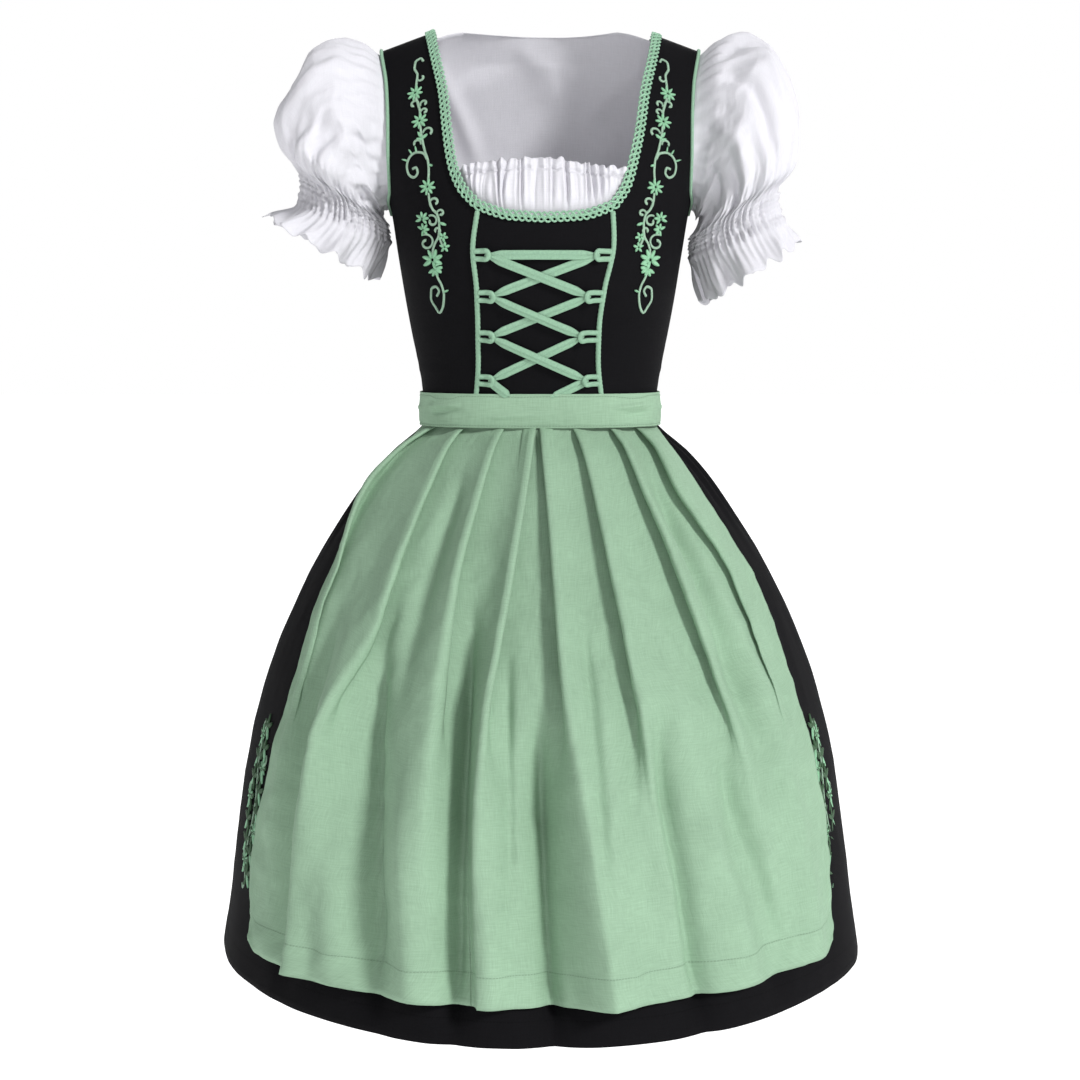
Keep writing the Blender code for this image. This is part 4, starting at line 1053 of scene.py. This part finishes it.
RUFFLE_HALF, RUFFLE_SHIFT, RUFFLE_GATHERS = 0.096, 0.004, 31
RUFFLE_TOP, RUFFLE_BOTTOM, RUFFLE_CASING = -0.1465, -0.215, 0.0078
BLOUSE_BOTTOM, STRAP_TOP = -0.330, -0.004


def above_neckline(x, height, shift=0.0045):
    """How far above the front neckline a point of the front is."""
    return height - smooth(NECKLINE, np.abs(x - shift), "height", by="half_width")


def make_blouse_front():
    """The front, gathered on a drawn edge above the bodice, and its two straps."""
    across, t = np.meshgrid(np.linspace(-1, 1, 290), np.linspace(0, 1, 62))
    x = across * RUFFLE_HALF + RUFFLE_SHIFT
    scallop = 0.0021 * np.abs(np.sin(across * RUFFLE_GATHERS * 0.8))
    top = RUFFLE_TOP + scallop - 0.0035 * np.abs(across) ** 2.2 - 0.003 * ease(across)
    top = top + 0.0012 * noise(across, 0 * t, 0.09, 5)
    height = RUFFLE_BOTTOM + t * (top - RUFFLE_BOTTOM)
    below = top - height
    wander = 2.6 * noise(across * 3, height * 5, 0.30, 21) + 1.5 * across
    fold = (np.abs(np.sin(across * RUFFLE_GATHERS + wander)) - 0.6
            + 0.35 * np.sin(across * 2.6 * RUFFLE_GATHERS + 2 * wander + 1))
    depth = 0.0042 * ease((0.085 - below) / 0.06)
    casing = hump(below - RUFFLE_CASING, 0.0016)
    out = depth * fold * (1 - 0.4 * casing) - 0.0026 * casing + 0.0030
    out = out + 0.0010 * crumple(across, height * 3, 0.12, 22)
    free = ease((above_neckline(x, height) - 0.001) / 0.020)
    out = -BLOUSE_INSET + (out + BLOUSE_INSET - 0.0010) * free
    grids = [on_form(torso_form, angle_at(x, height), height, out)]
    for side in (-1, 1):
        s, height = np.meshgrid(np.linspace(0, 1, 16),
                                np.linspace(RUFFLE_BOTTOM, STRAP_TOP, 70))
        inner = np.abs(angle_at(neck_half(np.maximum(height, -0.165), False)[0] + 0.004,
                                height))
        angle = inner + s * (armhole_angle(height, inset=BLOUSE_EDGE) - inner)
        grids.append(on_form(torso_form, side * angle, height, -BLOUSE_INSET))
    s, height = np.meshgrid(np.linspace(-1, 1, 90), np.linspace(BLOUSE_BOTTOM, -0.210, 40))
    grids.append(on_form(torso_form, s * 90, height,
                         -BLOUSE_INSET + 0.0006 * np.sin(s * 60)))
    return cloth("blouse_front", grids, THIN_WALL, "blouse")


# Creases hanging on the blouse back: start and end as (part of its half width, height),
# width, and rise.
BACK_FOLDS = dict(columns=("start", "end", "width", "rise"), rows=[
    ((0.66, -0.01), (0.25, -0.15), 0.045, -0.0060),
    ((-0.62, -0.02), (-0.15, -0.10), 0.045, -0.0050),
    ((-0.50, -0.10), (0.05, -0.17), 0.045, -0.0030),
    ((0.1, -0.01), (-0.1, -0.09), 0.045, -0.0025)])


def make_blouse_back():
    """The back, with a narrow turned hem at the neck, stood up behind the wearer's."""
    s, t = np.meshgrid(np.linspace(-1, 1, 110), np.linspace(0, 1, 100))
    height = BLOUSE_BOTTOM + t ** 0.8 * (-0.0015 - BLOUSE_BOTTOM)
    angle = 180 + s * (180 - armhole_angle(height, True, BLOUSE_EDGE))
    out = -BLOUSE_INSET - 0.0015 + 0.0010 * crumple(s, height * 4, 0.30, 31)
    out = out + folds(BACK_FOLDS["rows"], s, height, (1, 3))
    grid = on_form(torso_form, angle, height, out)
    rise = np.clip((height - NAPE_START) / -NAPE_START, 0, 1)
    share = np.clip(1 - (grid[..., 0] / NAPE_HALF) ** 2, 0, 1) * ease(rise * 3)
    start, end = np.array(NAPE_START_AT), np.array(NAPE_END_AT)
    nape = start + (end - start) * rise[..., None]
    nape[..., 0] += out + BLOUSE_INSET
    grid[..., 1:] += (nape - grid[..., 1:]) * share[..., None]
    lip = NAPE_END_AT[1] - 0.0020 * hump(s, 0.5) + 0.0006 * np.sin(s * 9)
    grid[..., 2] = np.minimum(grid[..., 2], lip + (t - 1) * 0.004)
    return cloth("blouse_back", grid, THIN_WALL, "blouse")


ARMHOLE_MIDDLE, ARMHOLE_REACH, ARMHOLE_TURN = -0.0913, 0.0882, -0.150   # heights
# The sleeve's first rings, from its seam allowance out to the armhole's edge.
SLEEVE_ROOTS = dict(columns=("clearance", "inset"), rows=[
    (-0.0050, 0.0030),
    (-0.0015, 0.0026),
    (0.0010, 0.0018)])


def armhole_ring(side, turn, clearance, inset):
    """The sleeve's seam inside the bodice's armhole. turn is 0 at the shoulder, a quarter
    turn at the front and half a turn at the underarm."""
    height = ARMHOLE_MIDDLE + ARMHOLE_REACH * np.cos(turn)
    x = smooth(ARMHOLE, height, "half_width") + clearance
    angle = np.where(np.sin(turn) < 0, np.abs(angle_at(x, height, True)),
                     np.abs(angle_at(x, height)))
    angle = angle + (90 - angle) * ease((ARMHOLE_TURN - height) / (ARMHOLE_TURN - UNDERARM))
    return on_form(torso_form, side * angle, height, -inset)


SLEEVE_TURNS, SLEEVE_ROWS = 220, 125
SLEEVE_START = 0.10          # along the sleeve, where its armhole seam lets it go
SLEEVE_MIDDLE = 0.205        # how far to the side a sleeve hangs
PUFF_GATHERS, HEAD_GATHERS, FRILL_WAVES = 46, 30, 8   # round the sleeve
ELASTIC_ROWS = (0.715, 0.745, 0.775, 0.805, 0.835)    # along it


def make_sleeve(label):
    """Puff, shirred cuff and frill, cut in one and seamed under the arm."""
    side, rows = SLEEVES[label]["side"], np.array(SLEEVES[label]["rows"])
    turn = np.linspace(-np.pi, np.pi, SLEEVE_TURNS)
    along = np.linspace(SLEEVE_START, 1.0, SLEEVE_ROWS)
    outer_x, outer_z, inner_x, inner_z, half_depth = [
        curve_through(rows[:, 0], rows[:, k], along)[:, None]
        for k in range(1, len(SLEEVE_COLUMNS))]
    u, t = turn[None, :], along[:, None]
    seed = 40 if side > 0 else 60

    wander = 2.6 * noise(u, t, 0.35, seed) * np.ones_like(u)
    gathered = np.sin(PUFF_GATHERS * u + 1.6 * wander)
    cuff = ease((t - CUFF_START + 0.06) / 0.06) * ease((CUFF_END + 0.04 - t) / 0.06)
    frill = ease((t - CUFF_END + 0.02) / 0.12)
    jitter = 1.4 * noise(u * 2.5, t * 9, 0.35, seed + 11)
    gathers = (np.sin(PUFF_GATHERS * u + 1.6 * wander + jitter)
               + 0.5 * np.sin(71 * u - wander - jitter))
    swell = 0.0030 * gathers * np.clip(cuff + 0.55 * ease((t - 0.50) / 0.16)
                                       * ease((0.80 - t) / 0.1), 0, 1)
    elastic = sum(hump(t - at, 0.010) for at in ELASTIC_ROWS)
    swell = swell - 0.0024 * elastic * (0.6 + 0.4 * gathered)
    waves = np.sin(FRILL_WAVES * u + 0.8 * wander) + 0.4 * np.sin(13 * u + 2.0)
    swell = swell + 0.0058 * frill * waves * ease((t - 0.84) / 0.16)
    swell = swell + 0.0016 * frill * gathered * ease((1.02 - t) / 0.12)
    head = ease((0.30 - t) / 0.20) * ease((t - SLEEVE_START) / 0.05)
    swell = swell + 0.0022 * head * np.sin(HEAD_GATHERS * u + wander)
    puff = ease((t - 0.14) / 0.12) * ease((0.74 - t) / 0.12)
    swell = swell + puff * (0.0090 * crumple(u * 0.9 + 0.9 * t, t * 1.6, 0.75, seed + 3, 2)
                            + 0.0050 * noise(u * 1.2 + 2 * t, t * 1.6, 0.40, seed + 7)
                            - 0.002)
    swell = swell + puff * 0.0046 * np.sin(11 * u + 2.0 * wander) * ease((t - 0.40) / 0.2)
    swell = swell + 0.0030 * puff * crumple(u * 0.7 + t, t * 1.1 - 0.2 * u, 0.22, seed + 5)
    swell = swell + folds(SLEEVES[label]["creases"], u, t, CREASE_SCALE)

    centre = np.stack(np.broadcast_arrays(side * (outer_x + inner_x) / 2, 0.0,
                                          (outer_z + inner_z) / 2), -1)
    arm = np.stack(np.broadcast_arrays(side * (outer_x - inner_x) / 2, 0.0,
                                       (outer_z - inner_z) / 2), -1)
    depth = np.stack(np.broadcast_arrays(0.0 * half_depth, -half_depth, 0.0), -1)
    spoke = arm * np.cos(u)[..., None] + depth * np.sin(u)[..., None]
    length = np.linalg.norm(spoke, axis=-1, keepdims=True)
    tube = centre + spoke * (1 + swell[..., None] / length)
    down = np.cross(arm, depth) * side
    down = down / np.linalg.norm(down, axis=-1, keepdims=True)
    edge = ease((t - 0.88) / 0.12) * (0.0035 * np.sin(13 * u + wander) + 0.0020
                                      * np.sin(22 * u + 1.0))
    tube = tube + down * edge[..., None]
    roots = [armhole_ring(side, turn, *row)[None] for row in SLEEVE_ROOTS["rows"]]
    blend = ease((along - SLEEVE_START) / 0.07)[:, None, None]
    tube = roots[-1] * (1 - blend) + tube * blend
    grid = np.concatenate(roots[:-1] + [tube])
    nodes = ["sleeve_%s_%s" % (part, label) for part in ("puff", "cuff", "frill")]
    return cloth("sleeve_" + label, grid, THIN_WALL, "blouse", (side * SLEEVE_MIDDLE, 0),
                 nodes)


# ---------------------------------------------------------------- skirt
# Large soft folds that the apron and the skirt under it share: start and end as (angle,
# height), width in degrees, and rise.
SOFT_FOLDS = dict(columns=("start", "end", "width", "rise"), rows=[
    ((-37, -0.56), (-23, -0.99), 3.6, -0.018),
    ((-45, -0.56), (-32, -1.00), 3.2, 0.010),
    ((-24, -0.70), (-18, -1.02), 2.8, 0.010),
    ((-15.5, -0.54), (-13, -1.04), 3.2, -0.019),
    ((-1.5, -0.64), (3.5, -1.06), 3.8, -0.022),
    ((11, -0.60), (14, -1.02), 3.4, 0.012),
    ((18, -0.66), (29, -1.03), 3.2, -0.016),
    ((22, -0.58), (39, -1.00), 3.4, 0.010),
    ((31, -0.72), (47, -0.97), 3.0, -0.011),
    ((38, -0.44), (44, -0.74), 2.4, -0.012),
    ((46, -0.56), (54, -1.02), 3.2, 0.009),
    ((-53, -0.54), (-46, -1.00), 3.2, -0.013),
    ((-25, -0.44), (-28, -0.70), 2.6, -0.009),
    ((-8, -0.80), (-5, -1.04), 2.2, 0.008),
    ((-0.5, -0.64), (2.8, -1.03), 1.3, -0.015),
    ((-14.8, -0.56), (-13.2, -1.02), 1.1, -0.012),
    ((20, -0.66), (28.5, -1.02), 1.2, -0.013),
    ((-35, -0.60), (-25, -0.98), 1.2, -0.012),
    ((-6.5, -0.60), (-4.5, -0.86), 1.0, -0.006),
    ((9, -0.56), (10, -0.84), 1.0, -0.005),
    ((33, -0.70), (46, -0.92), 1.0, -0.006)])


def soft_folds(angle, height):
    """How far they lift or sink the cloth, less near the skirt's hem."""
    out = folds(SOFT_FOLDS["rows"], angle, height, (1, 60))
    return out * (0.3 + 0.7 * ease((height - HEM) / 0.06))


SKIRT_GATHERS, GATHER_DEPTH, GATHER_END = 44, 0.0030, -0.56
SEAM_GAP = 0.0008


def make_skirt():
    for name, start, columns in (("skirt_front", -90, 190), ("skirt_back", 90, 200)):
        angle, t = np.meshgrid(np.linspace(start - 0.05, start + 180.05, columns),
                               np.linspace(0, 1, 80))
        height = WAIST_SEAM - SEAM_GAP + (HEM - WAIST_SEAM) * (1 - t) ** 0.92
        u = np.radians(angle) * 0.3
        turned = np.abs((angle + 180) % 360 - 180)
        gather = GATHER_DEPTH * ease((height - GATHER_END) / 0.12)
        gather = gather * ease((-0.392 - height) / 0.02) * ease((turned - 60) / 20)
        wander = 2 * noise(u, height, 0.08, 3)
        out = gather * np.sin(np.radians(angle) * SKIRT_GATHERS + wander)
        out = out + 0.0035 * noise(u, height * 0.4, 0.09, 4) * ease((-0.45 - height) / 0.1)
        out = out + 0.0018 * crumple(u, height, 0.10, 6) * ease((-0.42 - height) / 0.1)
        out = out * ease(np.abs(turned - 90) / 6) - 0.0012 * hump(turned - 90, 0.25)
        out = out - 0.0010 * hump(height - HEM - HEM_DEPTH, 0.0012)
        covered = ease((58 - turned) / 7) * ease((height - APRON_HEM + 0.01) / 0.05)
        out = out - UNDER_APRON * covered * ease((BAND_BOTTOM - height) / 0.03)
        out = out + np.minimum(soft_folds(angle, height), 0)
        cloth(name, on_form(skirt_form, angle, height, out - 0.0006), CLOTH_WALL, "skirt")


# ---------------------------------------------------------------- apron
TUCK = 0.013                 # how far a pleat's cloth runs back under its fold
RIDGE_WIDTH = 0.018          # of a pleat that has opened out
PLEATS_OPEN = -0.80          # the height by which they have
HEM_CORNER = 0.010           # how far the apron's bottom corners are rounded up


def folded(stand, tuck):
    """(sideways, out) along a sharp fold, from the flap over to what lies under it."""
    return np.stack([
        np.array([-0.0060, -0.0028, -0.0010, -0.0001, -0.0012, -0.0030, 0, 0, 0, 0, 0,
                  0.0015, 0.0035, 0.0060])
        + tuck * np.array([0, 0, 0, 0, 0, -0.10, -0.55, -0.96, -1.0, -0.96, -0.55, 0, 0, 0]),
        stand * np.array([1.0, 1.0, 0.97, 0.80, 0.62, 0.56, 0.50, 0.42, 0.30, 0.16, 0.04, 0,
                          0, 0])], -1)


def opened(stand, width):
    """The same fold let out into a soft ridge."""
    t = np.linspace(0, 1, 14)
    return np.stack([width * (2 * t - 0.75), stand * (1 - ease(t * 1.05))], -1)


def apron_row(height, panel_points=18):
    """Angle and stand-out of the points across the apron at one height, from -X to +X."""
    radius = float(smooth(SKIRT, height, "half_width"))
    heights = PLEAT_HEIGHTS[::-1]
    closed = float(ease((height - PLEATS_OPEN) / 0.20))
    edges = [(float(curve_through(heights, angles[::-1], height)),
              FOLD_DEPTH * float(curve_through(heights, stands[::-1], height)), faces)
             for angles, stands, faces in PLEATS["rows"]]
    ends = (-float(smooth(APRON_EDGE, height, "right")),
            float(smooth(APRON_EDGE, height, "left")))
    gaps = np.radians(np.diff([ends[0]] + [e[0] for e in edges] + [ends[1]])) * radius
    angle, out = [np.array([ends[0]])], [np.array([0.0])]
    for k, (at, stand, faces) in enumerate(edges):
        before, after = gaps[k], gaps[k + 1]
        under = (after if faces > 0 else before) * 0.42
        fold = folded(stand, closed * min(TUCK, 2.0 * stand))
        soft = opened(stand, RIDGE_WIDTH)
        points = fold * closed + soft * (1 - closed)
        points[:, 0] = np.minimum(points[:, 0], under)
        if faces < 0:
            points = (points * (-1, 1))[::-1]
        fold_angle = at + np.degrees(points[:, 0] / radius)
        t = np.linspace(0, 1, panel_points)[1:-1]
        rising = points[0, 1] - out[-1][-1]
        shape = t ** 2.6 if rising > 0 else 1 - (1 - t) ** 2.6
        angle.append(angle[-1][-1] + (fold_angle[0] - angle[-1][-1]) * t)
        out.append(out[-1][-1] + rising * shape)
        angle.append(fold_angle)
        out.append(points[:, 1])
    t = np.linspace(0, 1, panel_points)[1:]
    angle.append(angle[-1][-1] + (ends[1] - angle[-1][-1]) * t)
    out.append(out[-1][-1] * (1 - t) ** 1.5)
    return np.concatenate(angle), np.concatenate(out)


def make_apron():
    t = np.linspace(0, 1, 120)
    heights = APRON_HEM + (BAND_BOTTOM + 0.006 - APRON_HEM) * (1 - (1 - t) ** 1.15)
    rows = [apron_row(h) for h in heights]
    angle = np.array([r[0] for r in rows])
    out = np.array([r[1] for r in rows])
    height = np.repeat(heights[:, None], angle.shape[1], 1)
    u = np.radians(angle) * 0.28
    loose = ease((-0.46 - height) / 0.12)
    out = out * (0.35 + 0.65 * ease((BAND_BOTTOM - 0.001 - height) / 0.012))
    out = out + loose * (0.0024 * noise(u, height * 0.6, 0.055, 71)
                         + 0.0042 * crumple(u + 0.3 * height, height * 0.6, 0.075, 72)
                         + 0.0018 * crumple(u - 0.4 * height, height, 0.034, 74, 3))
    out = out + 0.0004 * noise(u, height, 0.010, 75)
    out = out - 0.0008 * hump(height - APRON_HEM - HEM_STITCH, 0.0014)
    lift = LIFT_AT_BAND + (APRON_LIFT - LIFT_AT_BAND) * ease((BAND_BOTTOM - height) / 0.03)
    edge = np.minimum(np.abs(angle - angle[:, :1]), np.abs(angle - angle[:, -1:]))
    out = out + 0.0012 * ease((1.6 - edge) / 1.6) * loose
    out = np.maximum(out, -UNDER_APRON + 0.004) + soft_folds(angle, height)
    grid = on_form(skirt_form, angle, height, out + lift)
    rounding = 1 - ease(edge / 2.2)
    near_hem = ease((APRON_HEM + 0.02 - height) / 0.02)
    grid[..., 2] += HEM_CORNER * rounding ** 2 * near_hem
    return cloth("apron_skirt", grid, CLOTH_WALL, "apron")


# Small creases across the band: start and end as (angle, part of its height), width in
# degrees, and rise.
BAND_FOLDS = dict(columns=("start", "end", "width", "rise"), rows=[
    ((-64, 0.60), (-34, 0.68), 2.2, 0.0026),
    ((-60, 0.40), (-32, 0.50), 2.2, -0.0024),
    ((-22, 0.30), (4, 0.40), 2.2, 0.0014),
    ((30, 0.57), (60, 0.68), 2.2, 0.0024),
    ((36, 0.36), (64, 0.45), 2.2, -0.0022),
    ((-92, 0.5), (-70, 0.58), 2.2, 0.0012),
    ((70, 0.5), (94, 0.56), 2.2, 0.0012)])


def make_band():
    angle, t = np.meshgrid(np.linspace(-BAND_END, BAND_END, 200), np.linspace(0, 1, 30))
    height = BAND_BOTTOM - 0.0005 + t * (BAND_TOP - BAND_BOTTOM + 0.0005)
    out = BAND_LIFT + 0.0007 * np.sin(np.pi * t) - 0.0022 * t ** 2
    out = out + folds(BAND_FOLDS["rows"], angle, t, (1, 30))
    out = out + 0.0005 * crumple(np.radians(angle) * 0.13, height, 0.020, 81)
    out = out - 0.0005 * (hump(t - 0.065, 0.02) + hump(t - 0.935, 0.02))
    out = out - 0.0016 * ease((np.abs(angle) - BAND_END + 3) / 3)
    return cloth("apron_band", on_form(torso_form, angle, height, out), BAND_WALL, "band")


TIE_HALF, TIE_HALF_AT_KNOT, TIE_LIFT = 0.0173, 0.0095, 0.0044


def make_ties():
    """The ties from the band's ends round to the knot, narrowing into gathers."""
    for label, side in (("right", -1), ("left", 1)):
        angle, t = np.meshgrid(np.linspace(BAND_END - 1.0, TIE_END + 2, 90),
                               np.linspace(-1, 1, 20))
        drawn = ease((angle - BAND_END) / 62)
        half = TIE_HALF + (TIE_HALF_AT_KNOT - TIE_HALF) * drawn
        sag = 0.0015 * np.sin(np.radians((angle - BAND_END) * 2.6))
        height = BOW_HEIGHT + t * half - sag
        out = TIE_LIFT + 0.0016 * drawn * np.sin(t * 7.5 + 1.5 * noise(angle, t, 30, 91))
        out = out + 0.0006 * crumple(np.radians(angle) * 0.12, t * 0.017, 0.02, 92)
        cloth("apron_tie_" + label, on_form(torso_form, side * angle, height, out),
              BAND_WALL, "ribbon")


# The bow's loop, seen from above: reach from the knot, distance out, and half its width.
BOW_LOOP = dict(columns=("reach", "out", "half_width"), rows=[
    (0.010, -0.003, 0.007),
    (0.030, -0.006, 0.012),
    (0.060, -0.008, 0.019),
    (0.092, -0.007, 0.0225),
    (0.112, -0.004, 0.0235),
    (0.120, 0.001, 0.0240),
    (0.112, 0.007, 0.0235),
    (0.090, 0.013, 0.0225),
    (0.060, 0.014, 0.0190),
    (0.030, 0.009, 0.0120),
    (0.010, 0.003, 0.007)])
KNOT_OUT = 0.014
KNOT_HALF_WIDTH, KNOT_HALF_DEPTH, KNOT_HALF_HEIGHT = 0.0165, 0.0095, 0.0185
TAIL_TOP, TAIL_LENGTH, TAIL_LIFT = -0.396, 0.350, 0.0095
TAIL_HALF_AT_KNOT, TAIL_HALF = 0.0085, 0.0210


def make_bow():
    back = float(on_form(torso_form, 180.0, BOW_HEIGHT)[1])
    station = np.arange(len(BOW_LOOP["rows"]))
    along = np.linspace(0, station[-1], 90)
    reach, out, half = [curve_through(station, [r[k] for r in BOW_LOOP["rows"]], along)
                        for k in range(3)]
    v = np.linspace(-1, 1, 26)[None, :]
    for label, side in (("right", -1), ("left", 1)):
        near = np.exp(-reach / 0.035)[:, None]
        pleat = 0.0042 * near * np.sin(v * 8 + 0.6) + 0.0022 * np.sin(
            v * 3 + reach[:, None] * 40) * (1 - near)
        curl = 0.003 * (v ** 2) * ease(reach / 0.05)[:, None]
        droop = 0.9 * reach ** 2
        grid = np.stack(np.broadcast_arrays(
            side * (reach[:, None] - 0.006 * v ** 2 * (reach[:, None] / 0.12) ** 4),
            back + KNOT_OUT + out[:, None] - 1.6 * reach[:, None] ** 2
            + 0.068 * reach[:, None] + pleat - curl,
            BOW_HEIGHT - droop[:, None] + v * half[:, None]), -1)
        cloth("bow_loop_" + label, grid, CLOTH_WALL, "ribbon",
              (side * 0.06, back + KNOT_OUT))
        make_tail(label, side)
    turn, t = np.meshgrid(np.linspace(0, 2 * np.pi, 60), np.linspace(-1, 1, 30))
    pinch = 1 + 0.18 * t ** 2
    waves = 1 + 0.07 * np.sin(5 * turn + 2 * t) + 0.05 * np.sin(9 * turn)
    depth = KNOT_HALF_DEPTH * np.cos(turn) * waves * (1 - 0.25 * t ** 2)
    rise = KNOT_HALF_HEIGHT * np.sin(turn) * waves * (1 - 0.12 * t ** 4)
    grid = np.stack([KNOT_HALF_WIDTH * pinch * t, back + KNOT_OUT + depth,
                     BOW_HEIGHT + rise], -1)
    cloth("bow_knot", grid, CLOTH_WALL, "ribbon", (0, back + KNOT_OUT))


def make_tail(label, side):
    """A tail that hangs from under the knot over the back of the skirt."""
    t, v = np.meshgrid(np.linspace(0, 1, 90), np.linspace(-1, 1, 22), indexing="ij")
    height = TAIL_TOP - TAIL_LENGTH * t + 0.010 * side * v * ease((t - 0.9) / 0.1)
    middle = side * (0.0125 + 0.032 * t + 0.004 * np.sin(5 * t))
    half = TAIL_HALF_AT_KNOT + (TAIL_HALF - TAIL_HALF_AT_KNOT) * ease(t * 3)
    radius = smooth(SKIRT, height, "back")
    angle = 180 - np.degrees((middle + v * half) / radius)
    out = TAIL_LIFT + 0.0028 * np.sin(v * 2.4 + 4 * t + side) * ease(t * 4)
    out = out + 0.0022 * (1 - ease(t * 3)) * np.sin(v * 7) + 0.0008 * noise(v, t * 8, 0.7, 95)
    cloth("bow_tail_" + label, on_form(skirt_form, angle, height, out), CLOTH_WALL,
          "ribbon")


# ---------------------------------------------------------------- stage
FLOOR = -1.42
FLOOR_HALF, FLOOR_GREY, FLOOR_GLOW = 30.0, 0.55, 0.85
CAMERA = dict(place=(0.0, -2.0, -0.307), pitch=-6.39, lens=62.5)
SKY_COLOUR, SKY_STRENGTH = (0.97, 0.98, 1.0, 1), 0.31
# The suns: strength, spread of the disc, tilt from straight down, and turn, in degrees.
SUNS = dict(columns=("name", "strength", "spread", "pitch", "turn"), rows=[
    ("key", 2.60, 12, 57, 46),
    ("fill", 0.42, 30, 84, -4),
    ("back", 0.9, 40, 55, 170)])


def make_stage():
    """A glowing floor and a white sky behind, three suns and the camera."""
    mesh = bpy.data.meshes.new("floor")
    corners = [(x * FLOOR_HALF, y * FLOOR_HALF, FLOOR)
               for x, y in ((-1, -1), (1, -1), (1, 1), (-1, 1))]
    mesh.from_pydata(corners, [], [(0, 1, 2, 3)])
    floor = bpy.data.objects.new("floor", mesh)
    bpy.context.scene.collection.objects.link(floor)
    material = bpy.data.materials.new("floor")
    material.use_nodes = True
    shader = material.node_tree.nodes["Principled BSDF"]
    shader.inputs["Base Color"].default_value = (FLOOR_GREY, FLOOR_GREY, FLOOR_GREY, 1)
    shader.inputs["Roughness"].default_value = 0.9
    shader.inputs["Emission Color"].default_value = (1, 1, 1, 1)
    shader.inputs["Emission Strength"].default_value = FLOOR_GLOW
    mesh.materials.append(material)

    world = bpy.data.worlds.new("studio")
    world.use_nodes = True
    nodes, links = world.node_tree.nodes, world.node_tree.links
    nodes["Background"].inputs["Color"].default_value = SKY_COLOUR
    nodes["Background"].inputs["Strength"].default_value = SKY_STRENGTH
    seen = nodes.new("ShaderNodeBackground")
    seen.inputs["Color"].default_value = (1, 1, 1, 1)
    seen.inputs["Strength"].default_value = 1.0
    path, mix = nodes.new("ShaderNodeLightPath"), nodes.new("ShaderNodeMixShader")
    links.new(path.outputs["Is Camera Ray"], mix.inputs[0])
    links.new(nodes["Background"].outputs[0], mix.inputs[1])
    links.new(seen.outputs[0], mix.inputs[2])
    links.new(mix.outputs[0], nodes["World Output"].inputs["Surface"])
    bpy.context.scene.world = world

    for name, strength, spread, pitch, turn in SUNS["rows"]:
        light = bpy.data.lights.new(name, "SUN")
        light.energy = strength
        light.angle = math.radians(spread)
        lamp = bpy.data.objects.new(name, light)
        lamp.rotation_euler = (math.radians(pitch), 0, math.radians(turn))
        bpy.context.scene.collection.objects.link(lamp)

    camera = bpy.data.objects.new("camera", bpy.data.cameras.new("camera"))
    camera.location = CAMERA["place"]
    camera.rotation_euler = (math.radians(90 + CAMERA["pitch"]), 0, 0)
    camera.data.lens = CAMERA["lens"]
    bpy.context.scene.collection.objects.link(camera)
    bpy.context.scene.camera = camera
    bpy.context.scene.view_settings.view_transform = "Standard"


# ---------------------------------------------------------------- build
make_bodice()
make_braid()
make_piping()
make_loops()
make_lace()
for label, side in (("right", -1), ("left", 1)):
    strap_embroidery(label, side)
    skirt_embroidery(label, side)
    make_sleeve(label)
make_blouse_front()
make_blouse_back()
make_skirt()
make_apron()
make_band()
make_ties()
make_bow()
make_stage()
